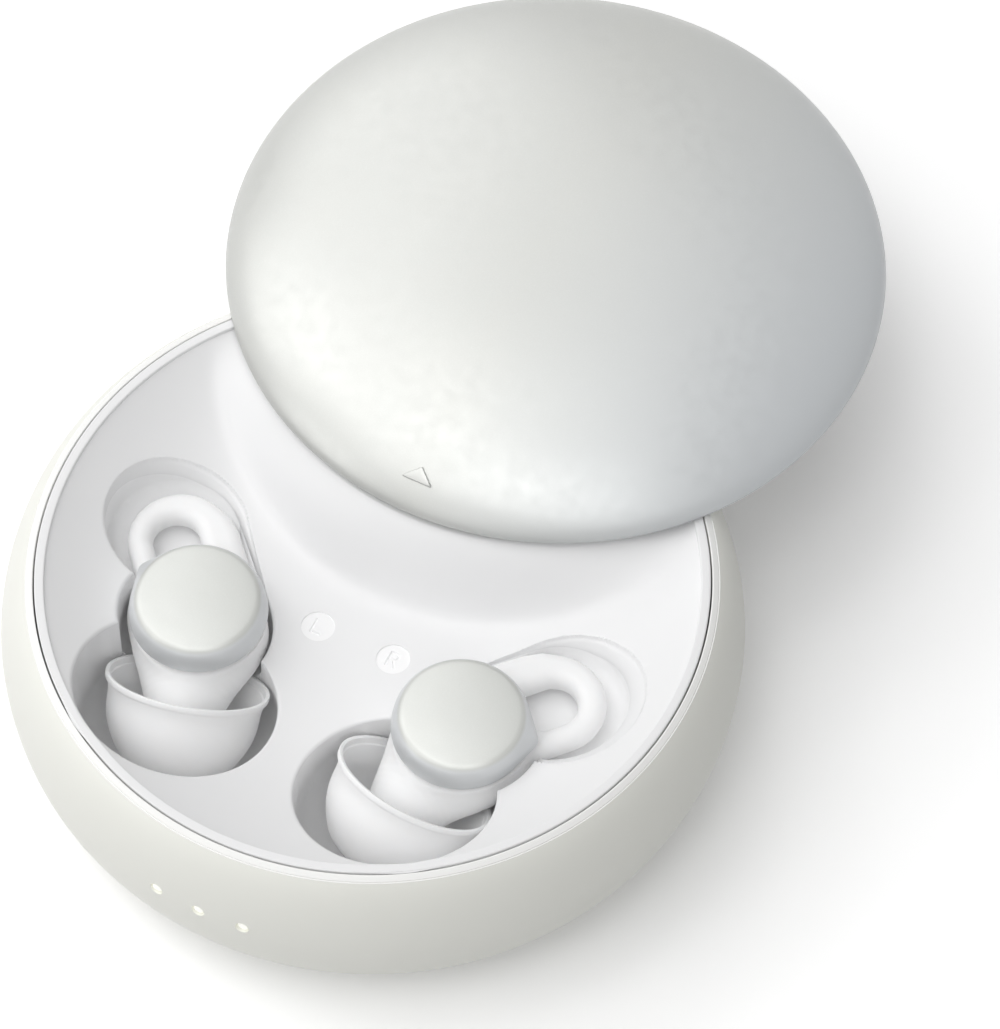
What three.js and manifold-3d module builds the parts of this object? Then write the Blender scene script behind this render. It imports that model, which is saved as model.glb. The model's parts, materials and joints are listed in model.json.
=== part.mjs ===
// Wireless earbuds case, shown open: a round base with a dished tray, a domed lid that has
// slid straight back, and two earbuds in their pockets.
// Millimetres, +Z up, the front faces -Y, origin at the middle of the flat foot.
import * as THREE from 'three';
import { mergeVertices } from 'three/addons/utils/BufferGeometryUtils.js';
import Module from 'manifold-3d';

// Clearances
const fitGap = 0.3;
const slipGap = 0.15;
const overrun = 1;

// The case's radius, and the sizes that are shares of it: beltHeightShare gives beltHeight
const caseRadius = 32;

function ofCase(shares) {
  const sized = ([name, share]) => [name.replace('Share', ''), share * caseRadius];
  return Object.fromEntries(Object.entries(shares).map(sized));
}

// Outer bowl of the case
const bowlShares = {
  beltHeightShare: 0.3878125,
  rimHeightShare: 0.6390625,
  rimRadiusShare: 0.8984375,
  footRadiusShare: 0.68125,
  padRadiusShare: 0.634375,
};
const { beltHeight, rimHeight, rimRadius, footRadius, padRadius } = ofCase(bowlShares);
const shellWall = 1.6;
const upperBulge = 1.58;
const lowerBulge = 2.11;
const padThickness = 0.8;

// Dished tray
const trayShares = {
  bowlDepthShare: 0.2140625,
  discOffsetShare: 0.1125,
  discFrontShare: 0.10625,
  discRadiusShare: 0.0453125,
};
const { bowlDepth, discOffset, discFront, discRadius } = ofCase(trayShares);
const lipWidth = 0.65;
const lipStep = 0.3;
const bowlPower = 2.6;
const trayWall = 1.2;
const discRise = 0.12;

// Raised deck behind the bowl, under the open lid
const deckShares = {
  deckCentreYShare: 0.90625,
  deckRadiusShare: 0.85625,
  deckFlankShare: 0.15625,
};
const { deckCentreY, deckRadius, deckFlank } = ofCase(deckShares);
const deckDrop = 0.45;
const flankPower = 1.6;

// Pockets for the right earbud; the left ones are mirrored
const pocketShares = {
  tipPocketXShare: 0.325,
  tipPocketYShare: -0.50625,
  tipPocketRadiusShare: 0.2625,
  tipPocketFloorShare: 0.16875,
  bodyPocketXShare: 0.4,
  bodyPocketYShare: -0.259375,
  bodyPocketRadiusShare: 0.209375,
  bodyPocketFloorShare: 0.275,
  wingPocketXShare: 0.58125,
  wingPocketYShare: -0.05,
  wingPocketRadiusShare: 0.190625,
  wingPocketFloorShare: 0.396875,
  cupFilletShare: 0.0625,
};
const { tipPocketX, tipPocketY, tipPocketRadius, tipPocketFloor, bodyPocketX, bodyPocketY,
  bodyPocketRadius, bodyPocketFloor, wingPocketX, wingPocketY, wingPocketRadius,
  wingPocketFloor, cupFillet } = ofCase(pocketShares);
const cupWall = 1;

// Lid
const lidShares = {
  lidRadiusShare: 0.909375,
  lidHeightShare: 0.2125,
  lidTravelShare: 1.10625,
  triangleWidthShare: 0.0875,
  triangleDepthShare: 0.034375,
  triangleFrontShare: 0.846875,
};
const { lidRadius, lidHeight, lidTravel, triangleWidth, triangleDepth, triangleFront } = ofCase(lidShares);
const lidPlanPower = 2.34;
const lidCrownPower = 1.79;
const lidRimWall = 1.6;
const lidCrownWall = 1.3;
const linerThickness = 0.8;
const railThickness = 0.4;
const railWidth = 3;
const triangleRise = 0.25;

// Slide shoe on the deck
const shoeShares = {
  shoeLengthShare: 0.28125,
  stemWidthShare: 0.25,
};
const { shoeLength, stemWidth } = ofCase(shoeShares);
const flangeThickness = 0.8;

// Earbuds, measured from the middle of the right one
const budShares = {
  budXShare: 0.390625,
  budYShare: -0.25625,
  budBottomShare: 0.31875,
  budHeightShare: 0.290625,
  capHeightShare: 0.09375,
  capRimRadiusShare: 0.1859375,
  capTopRadiusShare: 0.1675,
  capCrownShare: 0.0078125,
  capEdgeShare: 0.0171875,
  neckRadiusShare: 0.1078125,
  neckDepthShare: 0.1,
  nozzleRadiusShare: 0.065625,
  nozzleBoreShare: 0.04375,
  nozzleDepthShare: 0.215625,
};
const { budX, budY, budBottom, budHeight, capHeight, capRimRadius, capTopRadius, capCrown,
  capEdge, neckRadius, neckDepth, nozzleRadius, nozzleBore, nozzleDepth } = ofCase(budShares);
const budBatteryShare = 0.86;
const budBoardShare = 0.95;
const sleeveWall = 0.65;
const housingWall = 0.55;

// Ear tip, about its own axis
const tipShares = {
  tipLipXShare: 0.33875,
  tipLipYShare: -0.419375,
  tipLipZShare: 0.43875,
  tipLipRadiusShare: 0.2209375,
  tipWaistRadiusShare: 0.206875,
  tipLengthShare: 0.265625,
};
const { tipLipX, tipLipY, tipLipZ, tipLipRadius, tipWaistRadius, tipLength } = ofCase(tipShares);
const tipTilt = THREE.MathUtils.degToRad(46.65);
const tipYaw = THREE.MathUtils.degToRad(11.7);
const tipWall = 0.5;

// Wing loop on the sleeve
const wingShares = {
  ringXShare: 0.5584375,
  ringYShare: -0.05125,
  ringRadiusShare: 0.143125,
  ringHoleXShare: 0.565625,
  ringHoleYShare: -0.061875,
  ringHoleRadiusShare: 0.0634375,
  wingHeightShare: 0.45,
  wingThicknessShare: 0.079375,
  wingShoulderShare: 0.2,
  wingRoundShare: 0.0296875,
  wingCrownShare: 0.0375,
};
const { ringX, ringY, ringRadius, ringHoleX, ringHoleY, ringHoleRadius, wingHeight,
  wingThickness, wingShoulder, wingRound, wingCrown } = ofCase(wingShares);
const wingShoulderAngle = THREE.MathUtils.degToRad(13);
const wingOuterAngle = THREE.MathUtils.degToRad(-45);

// Charging contacts and pins
const pinShares = {
  pinSpacingShare: 0.09375,
  pinBackShare: 0.09375,
};
const { pinSpacing, pinBack } = ofCase(pinShares);
const pinRadius = 0.45;
const pinStroke = 0.8;
const pinFlangeRadius = 0.75;
const pinFlangeHeight = 0.4;
const contactRadius = 0.65;
const contactThickness = 0.5;
const blockWidth = 6.4;
const blockDepth = 2.6;
const barMagnetWidth = 6;
const barMagnetDepth = 2;
const barMagnetHeight = 1.6;

// Charge lights
const lightShares = {
  lightSpacingShare: 0.125,
  lightHeightShare: 0.41875,
  ledBoardWidthShare: 0.375,
  ledBoardBottomShare: 0.296875,
};
const { lightSpacing, lightHeight, ledBoardWidth, ledBoardBottom } = ofCase(lightShares);
const lightRadius = 0.45;
const lightFlange = 0.9;
const lightFlangeThickness = 0.5;
const lightRecess = 0.15;
const ledBoardThickness = 0.8;
const lightPipeLength = 4.75;
const ledChip = 1.2;

// Charging board, socket and pairing button
const boardShares = {
  socketHeightShare: 0.28125,
  boardWidthShare: 0.75,
  boardFrontShare: 0.578125,
  postXShare: 0.25,
  postYShare: 0.65625,
};
const { socketHeight, boardWidth, boardFront, postX, postY } = ofCase(boardShares);
const socketWidth = 9;
const socketThickness = 3.2;
const socketDepth = 7.2;
const socketRecess = 0.65;
const socketMetal = 0.3;
const tongueWidth = 6.6;
const tongueThickness = 0.7;
const tongueDepth = 4.6;
const boardThickness = 1;
const postRadius = 1.5;
const buttonAngle = THREE.MathUtils.degToRad(20);
const buttonRadius = 1.6;
const buttonFlange = 2.3;
const buttonFlangeThickness = 0.5;
const buttonStroke = 0.4;
const switchWidth = 3.4;
const switchDepth = 1.7;
const switchHeight = 3.2;
const plungerRadius = 0.8;
const plungerLength = 0.5;
const buttonLength = 3.3;

// Battery of the case
const cellShares = {
  cellWidthShare: 0.8125,
  cellDepthShare: 0.46875,
  cellHeightShare: 0.171875,
  cellFrontShare: 0.0375,
};
const { cellWidth, cellDepth, cellHeight, cellFront } = ofCase(cellShares);
const cellPad = 0.6;

// Screws and bosses
const screwShares = {
  trayScrewFrontYShare: -0.53125,
  trayScrewBackXShare: 0.51875,
  trayScrewBackYShare: 0.21875,
  lidScrewXShare: 0.59375,
  lidScrewYShare: 0.25,
  shoeScrewSpacingShare: 0.15625,
  discMagnetXShare: 0.390625,
};
const { trayScrewFrontY, trayScrewBackX, trayScrewBackY, lidScrewX, lidScrewY,
  shoeScrewSpacing, discMagnetX } = ofCase(screwShares);
const trayScrewHead = 1.6;
const trayScrewHeadHeight = 1;
const trayScrewShank = 0.8;
const trayScrewLength = 5.5;
const trayBossRadius = 2.2;
const standoffHeight = 1;
const lidScrewHead = 1.2;
const lidScrewHeadHeight = 0.45;
const lidScrewShank = 0.6;
const lidScrewLength = 2;
const lidBossRadius = 1.5;
const shoeScrewHead = 1.3;
const shoeScrewHeadHeight = 0.6;
const shoeScrewShank = 0.7;
const shoeScrewLength = 4.6;
const shoeBossDepth = 3;
const discMagnetRadius = 2;
const discMagnetHeight = 1.3;

// Number of flats on round pieces
const largeSides = 36;
const cupSides = 18;
const budSides = 16;
const smallSides = 10;

// Sizes that follow from the ones above
const padRecessRoof = padThickness + fitGap;
const innerFloor = padRecessRoof + shellWall;
const bowlFloor = rimHeight - bowlDepth;
const trayRadius = rimRadius - fitGap;
const bowlRadius = trayRadius - lipWidth;
const deckHeight = rimHeight - deckDrop;
const lidBase = rimHeight + fitGap;
const linerBottom = slipGap;
const linerTop = linerBottom + linerThickness;
const railBottom = linerTop + slipGap;
const railTop = railBottom + railThickness;
const flangeBottom = railTop + slipGap;
const flangeTop = flangeBottom + flangeThickness;
const linerRadius = lidRadius - lidRimWall - fitGap;
const slotHalfWidth = stemWidth / 2 + fitGap;
const slotHalfLength = shoeLength / 2 + lidTravel / 2 + fitGap;
const sleeveTop = budHeight - capHeight - slipGap;
const boardTop = socketHeight - socketThickness / 2 - slipGap;
const boardBottom = boardTop - boardThickness;
const pinTop = budBottom - fitGap;
const blockTop = bodyPocketFloor - cupWall - fitGap;
const socketMouth = shellOuterRadius(socketHeight) - socketRecess;
const ledBoardY = lightPipeLength - shellOuterRadius(lightHeight);
const buttonStart = shellOuterRadius(socketHeight) - buttonLength;
const switchReach = buttonStart - plungerLength - buttonStroke - slipGap / 2;
const boardRadius = switchReach + slipGap;

const wasm = await Module();
wasm.setup();

// Turns a closed geometry into a solid that can be joined and cut
function solidOf(geometry) {
  const bare = geometry.clone();
  bare.deleteAttribute('normal');
  bare.deleteAttribute('uv');
  const merged = mergeVertices(bare);
  const corners = merged.index.array;
  const triangles = [];
  for (let i = 0; i < corners.length; i += 3) {
    const [a, b, c] = [corners[i], corners[i + 1], corners[i + 2]];
    if (a !== b && b !== c && c !== a) triangles.push(a, b, c);
  }
  return new wasm.Manifold(new wasm.Mesh({
    numProp: 3,
    vertProperties: new Float32Array(merged.attributes.position.array),
    triVerts: new Uint32Array(triangles),
  }));
}

// The main body of a cut solid, without the specks that grazing cuts leave
function mainBody(solid) {
  return solid.decompose().sort((a, b) => b.volume() - a.volume())[0];
}

function geometryOf(solid) {
  const mesh = solid.getMesh();
  const geometry = new THREE.BufferGeometry();
  geometry.setAttribute('position', new THREE.BufferAttribute(new Float32Array(mesh.vertProperties), 3));
  geometry.setIndex(new THREE.BufferAttribute(new Uint32Array(mesh.triVerts), 1));
  geometry.computeVertexNormals();
  return geometry;
}

// The same geometry on the other side of the case, with its faces still pointing out
function mirrored(geometry) {
  const other = geometry.clone().scale(-1, 1, 1);
  const corners = other.index.array;
  for (let i = 0; i < corners.length; i += 3) {
    [corners[i], corners[i + 1]] = [corners[i + 1], corners[i]];
  }
  other.computeVertexNormals();
  return other;
}

// Turned form about Z from [radius, height] pairs, listed up the outside and down the inside
function turned(profile, sides) {
  const points = profile.map(([radius, height]) => new THREE.Vector2(radius, height));
  return new THREE.LatheGeometry(points, sides).rotateX(Math.PI / 2);
}

function rod(radius, bottom, top, sides = smallSides) {
  const length = top - bottom;
  return new THREE.CylinderGeometry(radius, radius, length, sides)
    .rotateX(Math.PI / 2)
    .translate(0, 0, bottom + length / 2);
}

function block(width, depth, bottom, top) {
  return new THREE.BoxGeometry(width, depth, top - bottom).translate(0, 0, (bottom + top) / 2);
}

function prism(shape, bottom, top, steps = smallSides) {
  return new THREE.ExtrudeGeometry(shape, { depth: top - bottom, bevelEnabled: false, curveSegments: steps })
    .translate(0, 0, bottom);
}

function roundedSlot(width, height) {
  const radius = height / 2;
  const reach = width / 2 - radius;
  const shape = new THREE.Shape();
  shape.absarc(reach, 0, radius, -Math.PI / 2, Math.PI / 2, false);
  shape.absarc(-reach, 0, radius, Math.PI / 2, 1.5 * Math.PI, false);
  return shape;
}

// Radius of the shell's outside at a height
function shellOuterRadius(height) {
  if (height > beltHeight) {
    const share = (rimHeight - height) / (rimHeight - beltHeight);
    const swell = (1 - (1 - share) ** upperBulge) ** (1 / upperBulge);
    return rimRadius + (caseRadius - rimRadius) * swell;
  }
  const share = 1 - height / beltHeight;
  return footRadius + (caseRadius - footRadius) * (1 - share ** lowerBulge) ** (1 / lowerBulge);
}

// Outside of the shell from its foot to its rim; the shares crowd towards the steep ends
function shellOutline(steps) {
  const outline = [];
  for (let i = 0; i <= steps; i += 1) {
    const share = Math.cos((i / steps) * (Math.PI / 2));
    const swell = (1 - share ** lowerBulge) ** (1 / lowerBulge);
    outline.push([footRadius + (caseRadius - footRadius) * swell, beltHeight * (1 - share)]);
  }
  for (let i = 1; i <= steps; i += 1) {
    const share = Math.cos((i / steps) * (Math.PI / 2));
    const swell = (1 - (1 - share) ** upperBulge) ** (1 / upperBulge);
    outline.push([
      rimRadius + (caseRadius - rimRadius) * swell,
      rimHeight - (rimHeight - beltHeight) * share,
    ]);
  }
  return outline;
}

// Inside of the shell: the outline moved in by the wall, square to itself
function shellInside(steps) {
  const outline = shellOutline(steps);
  const inside = [];
  for (let i = 1; i < outline.length - 1; i += 1) {
    const [beforeRadius, beforeHeight] = outline[i - 1];
    const [afterRadius, afterHeight] = outline[i + 1];
    const along = new THREE.Vector2(afterRadius - beforeRadius, afterHeight - beforeHeight).normalize();
    const radius = outline[i][0] - shellWall * along.y;
    const height = outline[i][1] + shellWall * along.x;
    const clearOfLip = height < beltHeight || (radius > rimRadius && height < rimHeight - shellWall);
    if (height > innerFloor && clearOfLip) inside.push([radius, height]);
  }
  return inside;
}

function makeShell() {
  const steps = 5;
  const outer = solidOf(turned([[0, 0], ...shellOutline(steps), [0, rimHeight]], largeSides));
  const inside = shellInside(steps);
  const [firstRadius] = inside[0];
  const lastHeight = inside[inside.length - 1][1];
  const hollow = solidOf(turned([
    [0, innerFloor],
    [firstRadius - shellWall, innerFloor],
    ...inside,
    [rimRadius, Math.max(lastHeight, rimHeight - shellWall)],
    [rimRadius, rimHeight + overrun],
    [0, rimHeight + overrun],
  ], largeSides));
  let shell = outer.subtract(hollow);
  shell = shell.subtract(solidOf(rod(padRadius + fitGap, -overrun, padRecessRoof, largeSides)));
  for (const [x, y] of trayScrewPlaces()) {
    shell = shell.add(solidOf(rod(trayBossRadius + shellWall / 2, padRecessRoof, innerFloor + standoffHeight)
      .translate(x, y, 0)));
    const headRoof = padRecessRoof + trayScrewHeadHeight + slipGap;
    shell = shell.subtract(solidOf(rod(trayScrewHead + slipGap, 0, headRoof).translate(x, y, 0)));
    shell = shell.subtract(solidOf(rod(trayScrewShank + slipGap, 0, innerFloor + standoffHeight + overrun)
      .translate(x, y, 0)));
  }
  for (const side of [-1, 1]) {
    const post = rod(postRadius, shellWall, boardBottom - fitGap).translate(side * postX, postY, 0);
    shell = shell.add(solidOf(post));
  }
  for (const x of lightPlaces()) {
    shell = shell.subtract(solidOf(rod(lightRadius + slipGap, 0, caseRadius)
      .rotateX(Math.PI / 2)
      .translate(x, 0, lightHeight)));
  }
  shell = shell.subtract(solidOf(
    prism(roundedSlot(socketWidth + 2 * fitGap, socketThickness + 2 * fitGap), 0, caseRadius, 6)
      .rotateX(-Math.PI / 2)
      .translate(0, 0, socketHeight),
  ));
  return shell.subtract(solidOf(rod(buttonRadius + slipGap, 0, caseRadius + overrun)
    .applyMatrix4(buttonMatrix())));
}

// Height of the tray's upper surface at a place
function trayHeight(x, y) {
  const radius = Math.min(Math.hypot(x, y), bowlRadius);
  const bowl = bowlFloor + (bowlDepth - lipStep) * (radius / bowlRadius) ** bowlPower;
  const inward = deckRadius - Math.hypot(x, y - deckCentreY);
  if (inward <= 0) return bowl;
  const climb = 1 - (1 - Math.min(inward / deckFlank, 1)) ** flankPower;
  return bowl + (deckHeight - bowl) * climb;
}

// Solid from a flat bottom up to the tray's surface, lowered by an offset
function belowTray(offset, bottom) {
  const ringShares = [0.1, 0.2, 0.3, 0.43, 0.56, 0.69, 0.81, 0.91, 1];
  const rings = ringShares.map((share) => (x, y) => [share * bowlRadius, trayHeight(x, y)]);
  rings.push(() => [bowlRadius, rimHeight], () => [trayRadius, rimHeight]);
  const positions = [0, 0, trayHeight(0, 0) - offset];
  for (const ring of rings) {
    for (let i = 0; i < largeSides; i += 1) {
      const angle = (i / largeSides) * 2 * Math.PI;
      const [radius] = ring(0, 0);
      const x = radius * Math.cos(angle);
      const y = radius * Math.sin(angle);
      positions.push(x, y, ring(x, y)[1] - offset);
    }
  }
  for (let i = 0; i < largeSides; i += 1) {
    const angle = (i / largeSides) * 2 * Math.PI;
    positions.push(trayRadius * Math.cos(angle), trayRadius * Math.sin(angle), bottom);
  }
  positions.push(0, 0, bottom);
  const corners = [];
  const last = positions.length / 3 - 1;
  for (let i = 0; i < largeSides; i += 1) {
    const next = (i + 1) % largeSides;
    corners.push(0, 1 + i, 1 + next);
    for (let ring = 0; ring < rings.length; ring += 1) {
      const inner = 1 + ring * largeSides;
      const outer = inner + largeSides;
      corners.push(inner + i, outer + i, outer + next, inner + i, outer + next, inner + next);
    }
    const edge = 1 + rings.length * largeSides;
    corners.push(last, edge + next, edge + i);
  }
  const geometry = new THREE.BufferGeometry();
  geometry.setAttribute('position', new THREE.BufferAttribute(new Float32Array(positions), 3));
  geometry.setIndex(corners);
  return solidOf(geometry);
}

function pocketZones() {
  return [
    { x: tipPocketX, y: tipPocketY, radius: tipPocketRadius, floor: tipPocketFloor },
    { x: bodyPocketX, y: bodyPocketY, radius: bodyPocketRadius, floor: bodyPocketFloor },
    { x: wingPocketX, y: wingPocketY, radius: wingPocketRadius, floor: wingPocketFloor },
  ];
}

// One round pocket zone with a filleted floor; grow makes the cup around it
function pocketBore(zone, side, grow, top) {
  const radius = zone.radius + grow;
  const floor = zone.floor - grow;
  const fillet = cupFillet + grow;
  const steps = 2;
  const profile = [[0, floor]];
  for (let i = 0; i <= steps; i += 1) {
    const angle = (i / steps) * (Math.PI / 2);
    profile.push([
      radius - fillet + fillet * Math.sin(angle),
      floor + fillet - fillet * Math.cos(angle),
    ]);
  }
  profile.push([radius, top], [0, top]);
  return solidOf(turned(profile, cupSides).translate(side * zone.x, zone.y, 0));
}

// Straight inner wall that runs from one zone's circle to the next one's
function pocketBridge(from, to, side, grow, top) {
  const span = new THREE.Vector2(to.x - from.x, to.y - from.y);
  const lean = Math.atan2(span.y, span.x) + Math.acos((from.radius - to.radius) / span.length());
  const reach = (zone) => [
    side * (zone.x + (zone.radius + grow) * Math.cos(lean)),
    zone.y + (zone.radius + grow) * Math.sin(lean),
  ];
  const corners = [[side * from.x, from.y], reach(from), reach(to), [side * to.x, to.y]];
  const shape = new THREE.Shape(corners.map(([x, y]) => new THREE.Vector2(x, y)));
  return solidOf(prism(shape, Math.max(from.floor, to.floor) - grow, top));
}

function pocketSolid(side, grow, top) {
  const [tip, body, wing] = pocketZones();
  let pocket = pocketBore(tip, side, grow, top);
  pocket = pocket.add(pocketBore(body, side, grow, top));
  pocket = pocket.add(pocketBore(wing, side, grow, top));
  pocket = pocket.add(pocketBridge(body, wing, side, grow, top));
  return pocket.add(pocketBridge(tip, body, side, grow, top));
}

function trayScrewPlaces() {
  return [[0, trayScrewFrontY], [-trayScrewBackX, trayScrewBackY], [trayScrewBackX, trayScrewBackY]];
}

function shoeScrewPlaces() {
  return [lidTravel / 2 - shoeScrewSpacing / 2, lidTravel / 2 + shoeScrewSpacing / 2];
}

function pinPlaces(side) {
  return [
    { name: 'inner', x: side * (budX - pinSpacing / 2), y: budY + pinBack },
    { name: 'outer', x: side * (budX + pinSpacing / 2), y: budY + pinBack },
  ];
}

function lightPlaces() {
  return [-lightSpacing, 0, lightSpacing];
}

function makeTray() {
  const whole = belowTray(0, 0);
  const bossBottom = innerFloor + standoffHeight + fitGap;
  let tray = whole.subtract(belowTray(trayWall, -overrun));
  let supports = pocketSolid(-1, cupWall, rimHeight + overrun);
  supports = supports.add(pocketSolid(1, cupWall, rimHeight + overrun));
  for (const [x, y] of trayScrewPlaces()) {
    supports = supports.add(solidOf(rod(trayBossRadius, bossBottom, rimHeight).translate(x, y, 0)));
  }
  for (const y of shoeScrewPlaces()) {
    supports = supports.add(solidOf(rod(
      shoeScrewHead,
      deckHeight - trayWall - shoeBossDepth,
      deckHeight,
    ).translate(0, y, 0)));
  }
  tray = tray.add(supports.intersect(whole));
  for (const side of [-1, 1]) {
    tray = tray.add(solidOf(rod(discRadius, bowlFloor - trayWall / 2, bowlFloor + discRise, 2 * smallSides)
      .translate(side * discOffset, -discFront, 0)));
    tray = tray.subtract(pocketSolid(side, 0, rimHeight + overrun));
    for (const { x, y } of pinPlaces(side)) {
      tray = tray.subtract(solidOf(rod(pinRadius + slipGap, innerFloor, bowlFloor).translate(x, y, 0)));
    }
  }
  for (const [x, y] of trayScrewPlaces()) {
    const boreTop = padRecessRoof + trayScrewHeadHeight + trayScrewLength + fitGap;
    const bore = rod(trayScrewShank + slipGap, 0, boreTop);
    tray = tray.subtract(solidOf(bore.translate(x, y, 0)));
  }
  const headSeat = lidBase + flangeTop - shoeScrewHeadHeight;
  for (const y of shoeScrewPlaces()) {
    tray = tray.subtract(solidOf(rod(
      shoeScrewShank + slipGap,
      headSeat - shoeScrewLength - fitGap,
      rimHeight + overrun,
    ).translate(0, y, 0)));
  }
  return tray;
}

function makeTrayScrew() {
  const top = padRecessRoof + trayScrewHeadHeight;
  return solidOf(turned([
    [0, padRecessRoof],
    [trayScrewHead, padRecessRoof],
    [trayScrewHead, top],
    [trayScrewShank, top],
    [trayScrewShank, top + trayScrewLength],
    [0, top + trayScrewLength],
  ], smallSides));
}

function makeLightPipe(x) {
  const end = Math.sqrt(shellOuterRadius(lightHeight) ** 2 - x * x) - lightRecess;
  const start = -ledBoardY + ledBoardThickness / 2 + ledChip / 2 + fitGap;
  return solidOf(turned([
    [0, start],
    [lightFlange, start],
    [lightFlange, start + lightFlangeThickness],
    [lightRadius, start + lightFlangeThickness],
    [lightRadius, end],
    [0, end],
  ], smallSides).rotateX(Math.PI / 2).translate(x, 0, lightHeight));
}

function makeLedBoard() {
  const top = trayHeight(0, ledBoardY) - trayWall - fitGap;
  let board = solidOf(block(ledBoardWidth, ledBoardThickness, ledBoardBottom, top)
    .translate(0, ledBoardY, 0));
  for (const x of lightPlaces()) {
    const front = ledBoardY - ledBoardThickness / 2;
    const chip = new THREE.BoxGeometry(ledChip, ledChip, ledChip).translate(x, front, lightHeight);
    board = board.add(solidOf(chip));
  }
  return board;
}

function makeMainBoard() {
  const halfWidth = boardWidth / 2;
  const turn = Math.asin(halfWidth / boardRadius);
  const shape = new THREE.Shape();
  shape.moveTo(-halfWidth, boardFront);
  shape.lineTo(halfWidth, boardFront);
  shape.absarc(0, 0, boardRadius, Math.PI / 2 - turn, Math.PI / 2 + turn, false);
  return solidOf(prism(shape, boardBottom, boardTop));
}

function makeSocketShell() {
  const inner = roundedSlot(socketWidth - 2 * socketMetal, socketThickness - 2 * socketMetal);
  const outer = roundedSlot(socketWidth, socketThickness);
  const tube = solidOf(prism(outer, socketMouth - socketDepth, socketMouth, 6));
  return tube.subtract(solidOf(prism(inner, socketMouth - socketDepth - overrun, socketMouth + overrun, 6)));
}

function makeTongue() {
  const inner = roundedSlot(
    socketWidth - 2 * socketMetal - 2 * slipGap,
    socketThickness - 2 * socketMetal - 2 * slipGap,
  );
  const back = socketMouth - socketDepth;
  const base = solidOf(prism(inner, back, back + socketDepth - tongueDepth - socketRecess, 6));
  return base.add(solidOf(new THREE.BoxGeometry(tongueWidth, tongueThickness, tongueDepth + overrun)
    .translate(0, 0, socketMouth - socketRecess - (tongueDepth + overrun) / 2)));
}

// The socket pieces are made along Z and laid down to point at the back
function laidBack(solid) {
  return solidOf(geometryOf(solid).rotateX(-Math.PI / 2).translate(0, 0, socketHeight));
}

// Frame of the pairing button: its axis runs out through the wall beside the socket
function buttonMatrix() {
  return new THREE.Matrix4()
    .makeTranslation(0, 0, socketHeight)
    .multiply(new THREE.Matrix4().makeRotationZ(-buttonAngle))
    .multiply(new THREE.Matrix4().makeRotationX(-Math.PI / 2));
}

function makeButton() {
  const end = shellOuterRadius(socketHeight);
  return solidOf(turned([
    [0, buttonStart],
    [buttonFlange, buttonStart],
    [buttonFlange, buttonStart + buttonFlangeThickness],
    [buttonRadius, buttonStart + buttonFlangeThickness],
    [buttonRadius, end - slipGap],
    [buttonRadius - slipGap, end],
    [0, end],
  ], 2 * smallSides).applyMatrix4(buttonMatrix()));
}

function makeSwitch() {
  const body = solidOf(new THREE.BoxGeometry(switchWidth, switchHeight, switchDepth)
    .translate(0, 0, switchReach - switchDepth / 2)
    .applyMatrix4(buttonMatrix()));
  return body.add(solidOf(rod(plungerRadius, switchReach - switchDepth / 2, switchReach + plungerLength)
    .applyMatrix4(buttonMatrix())));
}

function makeContactBlock(side) {
  let holder = solidOf(block(blockWidth, blockDepth, innerFloor + fitGap, blockTop)
    .translate(side * budX, budY + pinBack, 0));
  const [flangeLow, flangeHigh] = pinFlangeSpan();
  for (const { x, y } of pinPlaces(side)) {
    const bore = rod(pinRadius + slipGap, flangeLow, blockTop + overrun).translate(x, y, 0);
    holder = holder.subtract(solidOf(bore));
    const chamber = rod(pinFlangeRadius + slipGap, flangeLow - pinStroke - slipGap, flangeHigh + slipGap);
    holder = holder.subtract(solidOf(chamber.translate(x, y, 0)));
  }
  return holder;
}

// Lowest and highest point of a pin's flange at rest
function pinFlangeSpan() {
  const high = blockTop - cupWall;
  return [high - pinFlangeHeight, high];
}

function makePin({ x, y }) {
  const [flangeLow, flangeHigh] = pinFlangeSpan();
  return solidOf(turned([
    [0, flangeLow],
    [pinFlangeRadius, flangeLow],
    [pinFlangeRadius, flangeHigh],
    [pinRadius, flangeHigh],
    [pinRadius, pinTop - pinRadius / 2],
    [pinRadius / 2, pinTop],
    [0, pinTop],
  ], smallSides).translate(x, y, 0));
}

function makeBarMagnet(side) {
  const y = budY + pinBack + blockDepth / 2 + fitGap + barMagnetDepth / 2;
  return solidOf(block(barMagnetWidth, barMagnetDepth, blockTop - barMagnetHeight, blockTop)
    .translate(side * budX, y, 0));
}

function makeShoe() {
  const bottom = deckHeight + fitGap;
  let shoe = solidOf(block(stemWidth, shoeLength, bottom, lidBase + flangeTop));
  const flangeWidth = 2 * (slotHalfWidth + railWidth);
  shoe = shoe.add(solidOf(block(flangeWidth, shoeLength, lidBase + flangeBottom, lidBase + flangeTop)));
  for (const y of [-shoeScrewSpacing / 2, shoeScrewSpacing / 2]) {
    const headSeat = lidBase + flangeTop - shoeScrewHeadHeight;
    shoe = shoe.subtract(solidOf(rod(shoeScrewShank + slipGap, bottom - overrun, headSeat + overrun)
      .translate(0, y, 0)));
    const headBore = rod(shoeScrewHead + slipGap, headSeat - slipGap, lidBase + flangeTop + overrun);
    shoe = shoe.subtract(solidOf(headBore.translate(0, y, 0)));
  }
  return solidOf(geometryOf(shoe).translate(0, lidTravel / 2, 0));
}

function makeShoeScrew(y) {
  const top = lidBase + flangeTop;
  const headSeat = top - shoeScrewHeadHeight;
  return solidOf(turned([
    [0, headSeat - shoeScrewLength],
    [shoeScrewShank, headSeat - shoeScrewLength],
    [shoeScrewShank, headSeat],
    [shoeScrewHead, headSeat],
    [shoeScrewHead, top],
    [0, top],
  ], smallSides).translate(0, y, 0));
}

// Height of the lid's outside over its lower edge, at a distance from its middle
function lidRiseAt(radius) {
  return lidHeight * (1 - (radius / lidRadius) ** lidPlanPower) ** (1 / lidCrownPower);
}

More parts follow.
